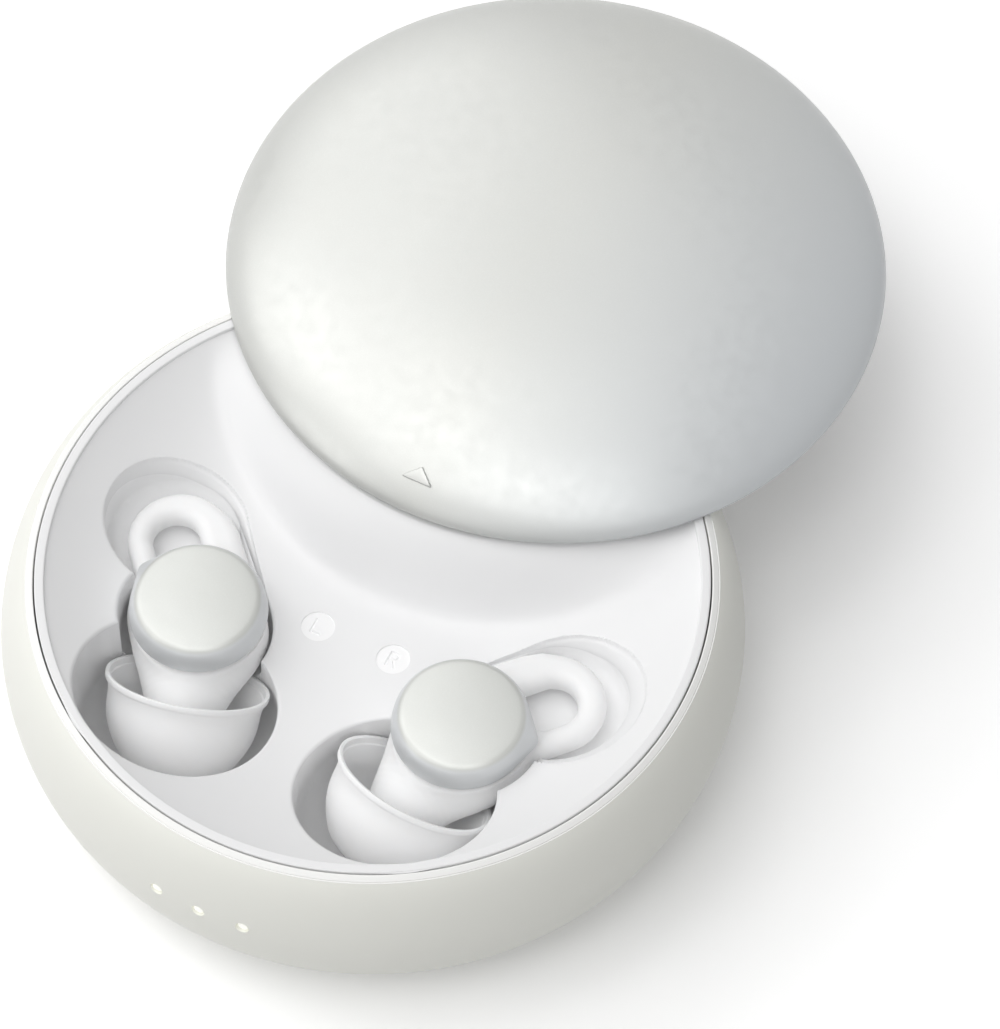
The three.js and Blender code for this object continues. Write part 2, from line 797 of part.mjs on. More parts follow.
// Dome from a flat base; steps crowd towards the edge, where it turns down
function domeProfile(radius, height, base, steps) {
  const profile = [];
  for (let i = 0; i <= steps; i += 1) {
    const share = Math.cos((i / steps) * (Math.PI / 2)) ** (2 / lidPlanPower);
    const rise = height * (1 - share ** lidPlanPower) ** (1 / lidCrownPower);
    profile.push([i === steps ? 0 : radius * share, base + rise]);
  }
  return profile;
}

function makeLidCover() {
  const steps = 6;
  const innerRadius = lidRadius - lidRimWall;
  const dome = domeProfile(lidRadius, lidHeight, 0, steps);
  let cover = solidOf(turned([[0, 0], ...dome], largeSides));
  const innerBase = railBottom;
  const innerHeight = lidHeight - lidCrownWall - innerBase;
  const inner = domeProfile(innerRadius, innerHeight, innerBase, steps - 1);
  cover = cover.subtract(solidOf(turned([[0, -overrun], [innerRadius, -overrun], ...inner], largeSides)));
  for (const [x, y] of lidScrewPlaces()) {
    let boss = solidOf(rod(lidBossRadius, linerTop + slipGap, lidHeight).translate(x, y, 0));
    boss = boss.intersect(solidOf(turned([[0, 0], ...dome], largeSides)));
    cover = cover.add(boss);
    cover = cover.subtract(solidOf(rod(lidScrewShank + slipGap, 0, linerTop + lidScrewLength + fitGap)
      .translate(x, y, 0)));
  }
  const triangle = new THREE.Shape([
    new THREE.Vector2(-triangleWidth / 2, -triangleFront),
    new THREE.Vector2(triangleWidth / 2, -triangleFront),
    new THREE.Vector2(0, triangleDepth - triangleFront),
  ]);
  const raised = domeProfile(lidRadius + triangleRise / 2, lidHeight + triangleRise, 0, 2 * steps);
  const mark = solidOf(prism(triangle, lidRiseAt(triangleFront) - triangleRise, lidHeight));
  return cover.add(mark.intersect(solidOf(turned([[0, 0], ...raised], largeSides))));
}

function lidScrewPlaces() {
  return [-lidScrewY, lidScrewY].flatMap((y) => [[-lidScrewX, y], [lidScrewX, y]]);
}

function makeLiner() {
  let liner = solidOf(rod(linerRadius, linerBottom, linerTop, largeSides));
  const top = linerTop + overrun;
  liner = liner.subtract(solidOf(block(2 * slotHalfWidth, 2 * slotHalfLength, -overrun, top)));
  for (const [x, y] of lidScrewPlaces()) {
    liner = liner.subtract(solidOf(rod(lidScrewShank + slipGap, -overrun, top).translate(x, y, 0)));
    liner = liner.subtract(solidOf(rod(
      lidScrewHead + slipGap,
      -overrun,
      linerBottom + lidScrewHeadHeight + slipGap / 2,
    ).translate(x, y, 0)));
  }
  return liner;
}

function makeLidScrew(x, y) {
  const seat = linerBottom + lidScrewHeadHeight;
  return solidOf(turned([
    [0, linerBottom],
    [lidScrewHead, linerBottom],
    [lidScrewHead, seat],
    [lidScrewShank, seat],
    [lidScrewShank, linerTop + lidScrewLength],
    [0, linerTop + lidScrewLength],
  ], smallSides).translate(x, y, 0));
}

function makeRail(side) {
  return solidOf(block(railWidth, 2 * slotHalfLength, railBottom, railTop)
    .translate(side * (slotHalfWidth + railWidth / 2), 0, 0));
}

// Frame of the ear tip: its Z runs from the domed end up to the housing, zero at the lip
function tipMatrix() {
  const axis = new THREE.Vector3(
    Math.cos(tipTilt) * Math.sin(tipYaw),
    Math.cos(tipTilt) * Math.cos(tipYaw),
    Math.sin(tipTilt),
  );
  const turn = new THREE.Quaternion().setFromUnitVectors(new THREE.Vector3(0, 0, 1), axis);
  return new THREE.Matrix4().compose(
    new THREE.Vector3(tipLipX - budX, tipLipY - budY, tipLipZ - budBottom),
    turn,
    new THREE.Vector3(1, 1, 1),
  );
}

// Outside of the ear tip from its rounded end up to its flared lip
function tipOutline(grow) {
  const radiusShares = [0.4, 0.72, 0.9, 0.98, 1];
  const depthShares = [0.97, 0.82, 0.6, 0.4, 0.18];
  const outline = radiusShares.map((share, i) => [
    share * tipWaistRadius + grow,
    -depthShares[i] * tipLength,
  ]);
  outline.push([tipLipRadius + grow, 0]);
  return outline;
}

function makeEarTip() {
  const boreRadius = nozzleRadius + slipGap;
  const coreTop = -neckDepth - fitGap;
  const outer = tipOutline(0);
  const inner = tipOutline(-tipWall).slice(1).reverse();
  const profile = [
    [nozzleBore, -tipLength],
    ...outer,
    [tipLipRadius - tipWall, 0],
    ...inner.slice(1).map(([radius, depth]) => [radius, depth + tipWall / 2]),
    [boreRadius + 2 * tipWall, inner[inner.length - 1][1] + tipWall],
    [boreRadius + tipWall, coreTop],
    [boreRadius, coreTop],
    [boreRadius, -nozzleDepth - slipGap],
    [nozzleBore, -nozzleDepth - slipGap],
    [nozzleBore, -tipLength],
  ];
  return solidOf(turned(profile, budSides).applyMatrix4(tipMatrix()));
}

// Room that the ear tip's rim needs beside the body of the earbud
function tipRimRoom() {
  const inner = tipWaistRadius - tipWall - slipGap;
  const outer = tipLipRadius + slipGap;
  const depth = -tipLength / 3;
  const profile = [[inner, depth], [outer, depth], [outer, fitGap], [inner, fitGap], [inner, depth]];
  return solidOf(turned(profile, budSides).applyMatrix4(tipMatrix()));
}

// Round body under the cap, from its flat bottom to its flat top; inset gives inner layers
function bodyForm(inset, top) {
  const radiusShares = [0.76, 0.84, 0.9, 0.955, 0.99];
  const heightShares = [0, 0.05, 0.16, 0.45, 0.8];
  const radius = capRimRadius - slipGap;
  const profile = [[0, inset]];
  radiusShares.forEach((share, i) => {
    profile.push([share * radius - inset, inset + heightShares[i] * sleeveTop]);
  });
  profile.push([radius - inset, top], [0, top]);
  return turned(profile, budSides);
}

// Neck from the body down into the ear tip: an oval that narrows along a bent line
function neckForm(inset, sides) {
  const toTip = tipMatrix();
  const axis = new THREE.Vector3(0, 0, 1).transformDirection(toTip);
  const end = new THREE.Vector3(0, 0, -neckDepth).applyMatrix4(toTip);
  const start = new THREE.Vector3(0, 0, sleeveTop / 2);
  const bodyWidth = capRimRadius - 2 * slipGap;
  const bodyDepth = sleeveTop / 2 - slipGap;
  const startHandle = start.clone().lerp(new THREE.Vector3(end.x, end.y, start.z), 1 / 3);
  const endHandle = end.clone().addScaledVector(axis, neckRadius / 2);
  const line = new THREE.CubicBezierCurve3(start, startHandle, endHandle, end);
  const steps = 5;
  const positions = [];
  for (let i = 0; i <= steps; i += 1) {
    const share = i / steps;
    const ease = THREE.MathUtils.smoothstep(share, 0, 1);
    const along = line.getTangent(share);
    const across = new THREE.Vector3().crossVectors(along, new THREE.Vector3(0, 0, 1)).normalize();
    const up = new THREE.Vector3().crossVectors(across, along);
    const centre = line.getPoint(share);
    for (let k = 0; k < sides; k += 1) {
      const angle = (k / sides) * 2 * Math.PI;
      const wide = (THREE.MathUtils.lerp(bodyWidth, neckRadius, ease) - inset) * Math.cos(angle);
      const high = (THREE.MathUtils.lerp(bodyDepth, neckRadius, ease) - inset) * Math.sin(angle);
      positions.push(...centre.clone().addScaledVector(across, wide).addScaledVector(up, high).toArray());
    }
  }
  positions.push(...line.getPoint(0).toArray(), ...line.getPoint(1).toArray());
  const first = sides * (steps + 1);
  const corners = [];
  for (let k = 0; k < sides; k += 1) {
    const next = (k + 1) % sides;
    for (let i = 0; i < steps; i += 1) {
      const near = i * sides;
      const far = near + sides;
      corners.push(near + k, far + next, near + next, near + k, far + k, far + next);
    }
    corners.push(first, k, next, first + 1, sides * steps + next, sides * steps + k);
  }
  const geometry = new THREE.BufferGeometry();
  geometry.setAttribute('position', new THREE.BufferAttribute(new Float32Array(positions), 3));
  geometry.setIndex(corners);
  return geometry;
}

// Level loop behind the body, with a web on its inner side and a shoulder on its outer side
function wingForm() {
  const bodyReach = capRimRadius - 2 * slipGap - wingRound;
  const ringReach = ringRadius - wingRound;
  const shoulderReach = wingShoulder - wingRound;
  const ring = new THREE.Vector2(ringX - budX, ringY - budY);
  const innerSide = Math.atan2(ring.y, ring.x) + Math.acos((bodyReach - ringReach) / ring.length());
  const shape = new THREE.Shape();
  shape.absarc(ring.x, ring.y, ringReach, wingOuterAngle, innerSide, false);
  shape.lineTo(bodyReach * Math.cos(innerSide), bodyReach * Math.sin(innerSide));
  shape.lineTo(0, 0);
  shape.lineTo(shoulderReach * Math.cos(wingShoulderAngle), shoulderReach * Math.sin(wingShoulderAngle));
  const hole = new THREE.Path();
  hole.absarc(ringHoleX - budX, ringHoleY - budY, ringHoleRadius + wingRound, 0, 2 * Math.PI, true);
  shape.holes.push(hole);
  return new THREE.ExtrudeGeometry(shape, {
    depth: wingThickness - 2 * wingCrown,
    bevelThickness: wingCrown,
    bevelSize: wingRound,
    bevelSegments: 2,
    curveSegments: 8,
  }).translate(0, 0, wingHeight - budBottom - wingThickness / 2 + wingCrown);
}

function makeSleeve() {
  const body = solidOf(bodyForm(0, sleeveTop));
  const neck = solidOf(neckForm(0, budSides));
  let sleeve = body.add(neck).add(solidOf(wingForm()));
  sleeve = sleeve.subtract(housingForm(sleeveWall, nozzleRadius + slipGap, sleeveTop + overrun));
  for (const side of [-1, 1]) {
    sleeve = sleeve.subtract(solidOf(rod(contactRadius + slipGap, -overrun, overrun)
      .translate(side * pinSpacing / 2, pinBack, 0)));
  }
  return mainBody(sleeve.subtract(tipRimRoom()));
}

// Outside of the rigid housing, with its nozzle, at an inset from the sleeve's outside
function housingForm(inset, radius, top) {
  const body = solidOf(bodyForm(inset, top));
  const neck = solidOf(neckForm(inset, budSides));
  const nozzle = solidOf(rod(radius, -nozzleDepth, 0, budSides / 2).applyMatrix4(tipMatrix()));
  return body.add(neck).add(nozzle);
}

function makeHousing() {
  const inset = sleeveWall + fitGap;
  let housing = housingForm(inset, nozzleRadius, sleeveTop);
  housing = housing.subtract(solidOf(bodyForm(inset + housingWall, sleeveTop + overrun)));
  housing = housing.subtract(solidOf(rod(nozzleBore, -nozzleDepth - overrun, neckRadius, budSides / 2)
    .applyMatrix4(tipMatrix())));
  for (const side of [-1, 1]) {
    housing = housing.subtract(solidOf(rod(contactRadius + slipGap, 0, inset + housingWall + overrun)
      .translate(side * pinSpacing / 2, pinBack, 0)));
  }
  return mainBody(housing.subtract(tipRimRoom()));
}

function makeCap() {
  const top = budHeight - capCrown;
  const steps = 3;
  const profile = [[0, budHeight - capHeight], [capRimRadius - capEdge / 2, budHeight - capHeight]];
  profile.push([capRimRadius, budHeight - capHeight + capEdge / 2]);
  for (let i = 0; i <= steps; i += 1) {
    const angle = (i / steps) * (Math.PI / 2);
    profile.push([
      capTopRadius - capEdge + capEdge * Math.cos(angle),
      top - capEdge + capEdge * Math.sin(angle),
    ]);
  }
  profile.push([(capTopRadius - capEdge) / 2, budHeight - capCrown / 4], [0, budHeight]);
  return solidOf(turned(profile, budSides));
}

function makeNozzleMesh() {
  const bottom = -nozzleDepth + fitGap;
  return solidOf(rod(nozzleBore - slipGap, bottom, bottom + fitGap).applyMatrix4(tipMatrix()));
}

function makeContact(side) {
  return solidOf(turned([
    [0, 0],
    [contactRadius, 0],
    [contactRadius, contactThickness + sleeveWall + housingWall],
    [0, contactThickness + sleeveWall + housingWall],
  ], smallSides).translate(side * pinSpacing / 2, pinBack, 0));
}

// Height inside the housing, above the inner ends of the contacts
function budStack() {
  const radius = capRimRadius - slipGap - sleeveWall - fitGap - housingWall - fitGap;
  const floor = contactThickness + sleeveWall + housingWall + fitGap;
  const boardSpan = [sleeveTop - fitGap - 2 * slipGap, sleeveTop - fitGap];
  return { radius, floor, boardSpan };
}

function makeBudBattery() {
  const { radius, floor, boardSpan } = budStack();
  return solidOf(rod(radius * budBatteryShare, floor, boardSpan[0] - fitGap - sleeveWall, budSides / 2));
}

function makeBudBoard() {
  const { radius, boardSpan } = budStack();
  return solidOf(rod(radius * budBoardShare, boardSpan[0] - slipGap, boardSpan[1], budSides / 2));
}

function makeBudDriver() {
  return solidOf(rod(nozzleBore - slipGap, -neckDepth, -neckDepth / 4).applyMatrix4(tipMatrix()));
}

// Colour, roughness and metalness of each finish
const finishes = {
  pearl: ['#dcdfdb', 0.34, 0.3],
  shell: ['#efeee8', 0.42, 0],
  tray: ['#f2f2f3', 0.38, 0],
  silicone: ['#ededee', 0.6, 0],
  rubber: ['#c9cac8', 0.8, 0],
  plastic: ['#e3e4e4', 0.5, 0],
  darkPlastic: ['#2b2c2e', 0.5, 0],
  clear: ['#fbfbf4', 0.25, 0],
  steel: ['#b9bcc0', 0.3, 0.9],
  gold: ['#d9b469', 0.25, 0.9],
  board: ['#2f5a3f', 0.55, 0],
  cell: ['#9aa3ad', 0.4, 0.4],
  foam: ['#55585c', 0.9, 0],
  magnet: ['#8d9094', 0.35, 0.9],
};

function addPart(group, name, solid, finish, flip = false) {
  const [color, roughness, metalness] = finishes[finish];
  const geometry = flip ? mirrored(geometryOf(solid)) : geometryOf(solid);
  const mesh = new THREE.Mesh(geometry, new THREE.MeshStandardMaterial({ color, roughness, metalness }));
  mesh.name = name;
  group.add(mesh);
}

function buildBase() {
  const group = new THREE.Group();
  addPart(group, 'base_shell', makeShell(), 'shell');
  addPart(group, 'inner_tray', makeTray(), 'tray');
  addPart(group, 'foot_pad', solidOf(rod(padRadius, 0, padThickness, largeSides)), 'rubber');
  trayScrewPlaces().forEach(([x, y], i) => {
    const screw = solidOf(geometryOf(makeTrayScrew()).translate(x, y, 0));
    addPart(group, `tray_screw_${i + 1}`, screw, 'steel');
  });
  ['left', 'middle', 'right'].forEach((place, i) => {
    addPart(group, `light_pipe_${place}`, makeLightPipe(lightPlaces()[i]), 'clear');
  });
  addPart(group, 'led_board', makeLedBoard(), 'board');
  addPart(group, 'main_board', makeMainBoard(), 'board');
  addPart(group, 'usb_c_shell', laidBack(makeSocketShell()), 'steel');
  addPart(group, 'usb_c_tongue', laidBack(makeTongue()), 'darkPlastic');
  addPart(group, 'tact_switch', makeSwitch(), 'darkPlastic');
  addPart(group, 'pairing_button', makeButton(), 'plastic');
  const cellY = cellFront + cellDepth / 2;
  const padTop = innerFloor + fitGap + cellPad;
  const pad = block(cellWidth, cellDepth, innerFloor + fitGap, padTop).translate(0, cellY, 0);
  const cellBottom = padTop + fitGap;
  const cell = block(cellWidth, cellDepth, cellBottom, cellBottom + cellHeight).translate(0, cellY, 0);
  addPart(group, 'battery_pad', solidOf(pad), 'foam');
  addPart(group, 'battery_cell', solidOf(cell), 'cell');
  for (const [side, word] of [[-1, 'left'], [1, 'right']]) {
    addPart(group, `contact_block_${word}`, makeContactBlock(side), 'darkPlastic');
    addPart(group, `pocket_magnet_${word}`, makeBarMagnet(side), 'magnet');
    for (const place of pinPlaces(side)) addPart(group, `pin_${word}_${place.name}`, makePin(place), 'gold');
  }
  const magnetTop = deckHeight - trayWall - fitGap;
  const magnet = rod(discMagnetRadius, magnetTop - discMagnetHeight, magnetTop, 2 * smallSides);
  addPart(group, 'base_magnet', solidOf(magnet.translate(discMagnetX, lidTravel / 2, 0)), 'magnet');
  addPart(group, 'slide_shoe', makeShoe(), 'plastic');
  ['front', 'rear'].forEach((place, i) => {
    addPart(group, `shoe_screw_${place}`, makeShoeScrew(shoeScrewPlaces()[i]), 'steel');
  });
  return group;
}

function buildLid() {
  const group = new THREE.Group();
  group.position.set(0, lidTravel, lidBase);
  addPart(group, 'lid_cover', makeLidCover(), 'pearl');
  addPart(group, 'lid_liner', makeLiner(), 'plastic');
  addPart(group, 'lid_rail_left', makeRail(-1), 'darkPlastic');
  addPart(group, 'lid_rail_right', makeRail(1), 'darkPlastic');
  const magnet = () => rod(discMagnetRadius, railBottom, railBottom + discMagnetHeight, 2 * smallSides);
  const closed = magnet().translate(discMagnetX, lidTravel / 2, 0);
  const open = magnet().translate(discMagnetX, -lidTravel / 2, 0);
  addPart(group, 'lid_magnet_closed', solidOf(closed), 'magnet');
  addPart(group, 'lid_magnet_open', solidOf(open), 'magnet');
  lidScrewPlaces().forEach(([x, y], i) => {
    addPart(group, `lid_screw_${i + 1}`, makeLidScrew(x, y), 'steel');
  });
  return group;
}

function buildBud(word) {
  const flip = word === 'left';
  const group = new THREE.Group();
  group.position.set(flip ? -budX : budX, budY, budBottom);
  const pieces = [
    ['cap', makeCap(), 'pearl'],
    ['sleeve', makeSleeve(), 'silicone'],
    ['ear_tip', makeEarTip(), 'silicone'],
    ['housing', makeHousing(), 'plastic'],
    ['nozzle_mesh', makeNozzleMesh(), 'steel'],
    ['contact_inner', makeContact(-1), 'gold'],
    ['contact_outer', makeContact(1), 'gold'],
    ['bud_battery', makeBudBattery(), 'cell'],
    ['bud_driver', makeBudDriver(), 'steel'],
    ['bud_board', makeBudBoard(), 'board'],
  ];
  for (const [piece, solid, finish] of pieces) addPart(group, `${word}_${piece}`, solid, finish, flip);
  return group;
}

const earbudsCase = new THREE.Group();
earbudsCase.add(buildBase(), buildLid(), buildBud('left'), buildBud('right'));

export default earbudsCase;
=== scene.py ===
import json
import math

import bpy
import numpy as np
from mathutils import Matrix, Vector
from mathutils.geometry import delaunay_2d_cdt


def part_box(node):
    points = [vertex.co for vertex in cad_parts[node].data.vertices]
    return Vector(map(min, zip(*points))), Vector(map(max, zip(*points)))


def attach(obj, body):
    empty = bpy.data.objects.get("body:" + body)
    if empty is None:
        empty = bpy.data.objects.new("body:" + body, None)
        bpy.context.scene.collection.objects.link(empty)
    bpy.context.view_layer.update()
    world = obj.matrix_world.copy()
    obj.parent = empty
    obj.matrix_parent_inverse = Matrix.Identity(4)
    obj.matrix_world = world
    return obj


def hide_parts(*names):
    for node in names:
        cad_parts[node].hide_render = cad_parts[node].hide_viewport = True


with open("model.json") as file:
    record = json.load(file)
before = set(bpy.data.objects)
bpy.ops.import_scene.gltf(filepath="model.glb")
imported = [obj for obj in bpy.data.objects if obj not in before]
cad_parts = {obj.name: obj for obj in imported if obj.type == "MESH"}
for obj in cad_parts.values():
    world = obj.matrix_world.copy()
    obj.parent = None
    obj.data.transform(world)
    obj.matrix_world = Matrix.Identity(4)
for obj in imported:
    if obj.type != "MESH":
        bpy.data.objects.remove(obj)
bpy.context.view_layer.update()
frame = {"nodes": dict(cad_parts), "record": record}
mm = 0.001
farAway = 1e3  # mm, further than any point of the case
print("frame loaded")


# Small tools for profiles and meshes, all in millimetres

def unit(vector):
    return vector / np.linalg.norm(vector)


def roundedPath(corners, steps=5, closed=False):
    # corners are (x, y, radius); a corner with a radius becomes an arc
    path = []
    count = len(corners)
    for i, (x, y, radius) in enumerate(corners):
        if radius <= 0 or (not closed and i in (0, count - 1)):
            path.append((x, y))
            continue
        here = np.array([x, y])
        before = np.array(corners[i - 1][:2]) - here
        after = np.array(corners[(i + 1) % count][:2]) - here
        shortest = min(np.linalg.norm(before), np.linalg.norm(after))
        before, after = unit(before), unit(after)
        halfAngle = math.acos(max(-1, min(1, float(before @ after)))) / 2
        reach = min(radius / math.tan(halfAngle), 0.49 * shortest)
        for k in range(steps + 1):
            t = k / steps
            path.append(tuple(here + before * reach * (1 - t) ** 2 + after * reach * t ** 2))
    return path


def smoothCurve(points, steps=4):
    # Catmull-Rom curve through the points
    points = [np.array(p, float) for p in points]
    padded = [2 * points[0] - points[1], *points, 2 * points[-1] - points[-2]]
    curve = []
    for i in range(1, len(padded) - 2):
        a, b, c, d = padded[i - 1:i + 3]
        for k in range(steps):
            t = k / steps
            curve.append(tuple(0.5 * (2 * b + (c - a) * t + (2 * a - 5 * b + 4 * c - d) * t ** 2
                                      + (3 * b - a - 3 * c + d) * t ** 3)))
    curve.append(tuple(points[-1]))
    return curve


def turnedForm(profile, sides, closed=False):
    # turned about Z; points on the axis are shared
    points, rows, faces = [], [], []
    for radius, height in profile:
        if radius < 1e-6:
            rows.append([len(points)] * sides)
            points.append((0, 0, height))
            continue
        rows.append(range(len(points), len(points) + sides))
        for k in range(sides):
            angle = 2 * math.pi * k / sides
            points.append((radius * math.cos(angle), radius * math.sin(angle), height))
    pairs = list(zip(rows, rows[1:]))
    if closed:
        pairs.append((rows[-1], rows[0]))
    for near, far in pairs:
        for k in range(sides):
            after = (k + 1) % sides
            face = []
            for corner in (near[k], near[after], far[after], far[k]):
                if corner not in face:
                    face.append(corner)
            if len(face) > 2:
                faces.append(face)
    return np.array(points, float), faces


def rodForm(radius, bottom, top, sides=48, edge=0.0):
    profile = roundedPath([(0, bottom, 0), (radius, bottom, edge), (radius, top, edge), (0, top, 0)])
    return turnedForm(profile, sides)


def prismForm(outline, bottom, top):
    count = len(outline)
    points = np.array([(x, y, z) for z in (bottom, top) for x, y in outline], float)
    faces = [list(reversed(range(count))), list(range(count, 2 * count))]
    for i in range(count):
        after = (i + 1) % count
        faces.append([i, after, count + after, count + i])
    return points, faces


def placed(form, matrix):
    points, faces = form
    turn = np.array(matrix)
    moved = points @ turn[:3, :3].T + turn[:3, 3]
    if np.linalg.det(turn[:3, :3]) < 0:
        faces = [list(reversed(face)) for face in faces]
    return moved, faces


def joined(*forms):
    points, faces, start = [], [], 0
    for formPoints, formFaces in forms:
        points.append(formPoints)
        faces += [[corner + start for corner in face] for face in formFaces]
        start += len(formPoints)
    return np.vstack(points), faces


def meshOf(name, form):
    points, faces = form
    mesh = bpy.data.meshes.new(name)
    mesh.from_pydata((points * mm).tolist(), [], [list(map(int, face)) for face in faces])
    return mesh


def shadeSmooth(mesh, sharpAngle=32):
    mesh.polygons.foreach_set("use_smooth", [True] * len(mesh.polygons))
    mesh.set_sharp_from_angle(angle=math.radians(sharpAngle))


def addObject(name, data):
    made = bpy.data.objects.new(name, data)
    bpy.context.scene.collection.objects.link(made)
    return made


def newPiece(name, form, body, nodes, slot, sharpAngle=32):
    # a new piece that moves with a body; nodes names the CAD nodes that it stands for
    mesh = meshOf(name, form)
    mesh.update()
    shadeSmooth(mesh, sharpAngle)
    piece = addObject(name, mesh)
    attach(piece, body)
    if nodes:
        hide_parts(*nodes)
    return piece


def cutAway(piece, cutters):
    # cuts closed forms out of a piece and keeps its smooth shading
    for form in cutters:
        cutter = addObject("cutter", meshOf("cutter", form))
        modifier = piece.modifiers.new("cut", "BOOLEAN")
        modifier.object = cutter
        modifier.operation = "DIFFERENCE"
        modifier.solver = "EXACT"
        bpy.context.view_layer.update()
        result = bpy.data.meshes.new_from_object(
            piece.evaluated_get(bpy.context.evaluated_depsgraph_get()))
        piece.modifiers.clear()
        piece.data = result
        bpy.data.objects.remove(cutter)
    shadeSmooth(piece.data)


# Procedural finishes, sizes in millimetres

# what a finish has unless its own lines say otherwise
plainLook = dict(patch=6.0, patchShare=0.6, darker=0.93, smudge=1.2, roughChange=0.06, metal=0, ior=1.46,
                 coat=0, coatRough=0.2, sheen=0, sheenRough=0.4, grain=0.09, grainStrength=0.06,
                 grainDepth=0.01, wave=2.5, soften=0, under=0, glow=0, pattern=None, stretch=(1, 14, 1))
# each pattern's size where it has a fixed one, and the strength and depth of its bumps
brushMarks = dict(size=0.5, detail=4.0, bump=(0.12, 0.02))
# the foam's pores: their bumps, the painted shade in the hollows, and where that shade fades out
foamPores = dict(bump=(0.8, 0.15), poreShade=0.45, edge=(0.05, 0.4))
boardTraces = dict(size=1.6, gap=0.06, bump=(0.5, 0.03))
wrapBands = dict(size=9, distortion=1.5, bump=(0.2, 0.04))
slowWave = dict(bump=(0.03, 0.02))


def mixColours(tree, first, second, factor):
    # each of the two is a colour or a socket
    made = tree.nodes.new("ShaderNodeMix")
    made.data_type = "RGBA"
    sockets = [s for s in made.inputs if s.type == "RGBA"]
    for socket, value in zip(sockets, (first, second)):
        if isinstance(value, tuple):
            socket.default_value = (*value, 1)
        else:
            tree.links.new(value, socket)
    tree.links.new(factor, made.inputs["Factor"])
    return [s for s in made.outputs if s.type == "RGBA"][0]


def makeFinish(name, ownLook):
    look = {**plainLook, **ownLook}
    look.setdefault("shade", tuple(look["darker"] * c for c in look["colour"]))
    material = bpy.data.materials.new(name)
    material.use_nodes = True
    tree = material.node_tree
    shader = tree.nodes["Principled BSDF"]
    link = tree.links.new

    def node(kind, **values):
        made = tree.nodes.new(kind)
        for key, value in values.items():
            if key in made.inputs:
                made.inputs[key].default_value = value
            else:
                setattr(made, key, value)
        return made

    place = node("ShaderNodeTexCoord").outputs["Object"]

    def texture(kind, size, stretch=None, **values):
        made = node(kind, Scale=1 / (size * mm), **values)
        source = place
        if stretch:
            mapping = node("ShaderNodeMapping", Scale=stretch)
            link(place, mapping.inputs["Vector"])
            source = mapping.outputs["Vector"]
        link(source, made.inputs["Vector"])
        return made.outputs

    def noise(size, detail=3.0, stretch=None):
        return texture("ShaderNodeTexNoise", size, stretch, Detail=detail)["Fac"]

    def span(source, low, high, fromLow=0.3, fromHigh=0.7):
        made = node("ShaderNodeMapRange")
        ends = {"From Min": fromLow, "From Max": fromHigh, "To Min": low, "To Max": high}
        for key, value in ends.items():
            made.inputs[key].default_value = value
        link(source, made.inputs["Value"])
        return made.outputs["Result"]

    def along(axis, low, high):
        # runs from 0 to 1 between two places on an axis of the case
        axes = node("ShaderNodeSeparateXYZ")
        link(place, axes.inputs["Vector"])
        return span(axes.outputs[axis], 0, 1, low * mm, high * mm)

    # slow change of tint over the surface
    share = span(noise(look["patch"]), 0, look["patchShare"])
    colour = mixColours(tree, look["colour"], look["shade"], share)
    bumps = []
    pattern = look["pattern"]
    if pattern == "flakes":
        fleck = node("ShaderNodeSeparateColor")
        link(texture("ShaderNodeTexVoronoi", look["flake"])["Color"], fleck.inputs["Color"])
        share = span(fleck.outputs["Red"], 0, look["fleckShare"], 0.55, 1.0)
        colour = mixColours(tree, colour, look["fleckColour"], share)
    if "rimColour" in look:
        # a band of another colour below a height, or above it when the heights are given downwards
        colour = mixColours(tree, look["rimColour"], colour, along("Z", *look["rimHeights"]))
    if "shadedSideColour" in look:
        # painted shade: the colour turns cooler and a little darker along X towards the side that the lamps
        # light less
        colour = mixColours(tree, colour, look["shadedSideColour"], along("X", *look["shadedSideReach"]))
    if pattern == "brushed":
        bumps.append((noise(brushMarks["size"], brushMarks["detail"], look["stretch"]), *brushMarks["bump"]))
    if pattern == "pores":
        # painted shade: the pores' hollows are painted darker
        hollows = texture("ShaderNodeTexVoronoi", look["pore"])["Distance"]
        bumps.append((hollows, *foamPores["bump"]))
        poreShade = tuple(foamPores["poreShade"] * c for c in look["colour"])
        colour = mixColours(tree, colour, poreShade, span(hollows, 1, 0, *foamPores["edge"]))
    if pattern == "traces":
        gap = {"Mortar Size": boardTraces["gap"]}
        lines = texture("ShaderNodeTexBrick", boardTraces["size"], **gap)["Fac"]
        colour = mixColours(tree, colour, look["lineColour"], lines)
        bumps.append((lines, *boardTraces["bump"]))
    if pattern == "wrap":
        bands = texture("ShaderNodeTexWave", wrapBands["size"], Distortion=wrapBands["distortion"])["Fac"]
        bumps.append((bands, *wrapBands["bump"]))
    bumps.append((noise(look["grain"], 2.0), look["grainStrength"], look["grainDepth"]))
    bumps.append((noise(look["wave"], 2.0), *slowWave["bump"]))

    link(colour, shader.inputs["Base Color"])
    rough, change = look["rough"], look["roughChange"]
    link(span(noise(look["smudge"]), max(rough - change, 0.02), min(rough + change, 1)),
         shader.inputs["Roughness"])
    normal = None
    if look["soften"]:
        normal = node("ShaderNodeBevel", Radius=look["soften"] * mm, samples=4).outputs["Normal"]
    for height, strength, depth in bumps:
        bump = node("ShaderNodeBump", Strength=strength, Distance=depth * mm)
        link(height, bump.inputs["Height"])
        if normal:
            link(normal, bump.inputs["Normal"])
        normal = bump.outputs["Normal"]
    link(normal, shader.inputs["Normal"])
    values = {"Metallic": "metal", "IOR": "ior", "Coat Weight": "coat", "Coat Roughness": "coatRough",
              "Sheen Weight": "sheen", "Sheen Roughness": "sheenRough"}
    for socket, key in values.items():
        shader.inputs[socket].default_value = look[key]
    if look["under"]:
        # light that enters the soft rubber
        shader.inputs["Subsurface Weight"].default_value = look["under"]
        shader.inputs["Subsurface Radius"].default_value = (1.0, 0.95, 0.9)
        shader.inputs["Subsurface Scale"].default_value = look["underDepth"] * mm
    if look["glow"]:
        shader.inputs["Emission Color"].default_value = (*look["glowColour"], 1)
        shader.inputs["Emission Strength"].default_value = look["glow"]
    return material


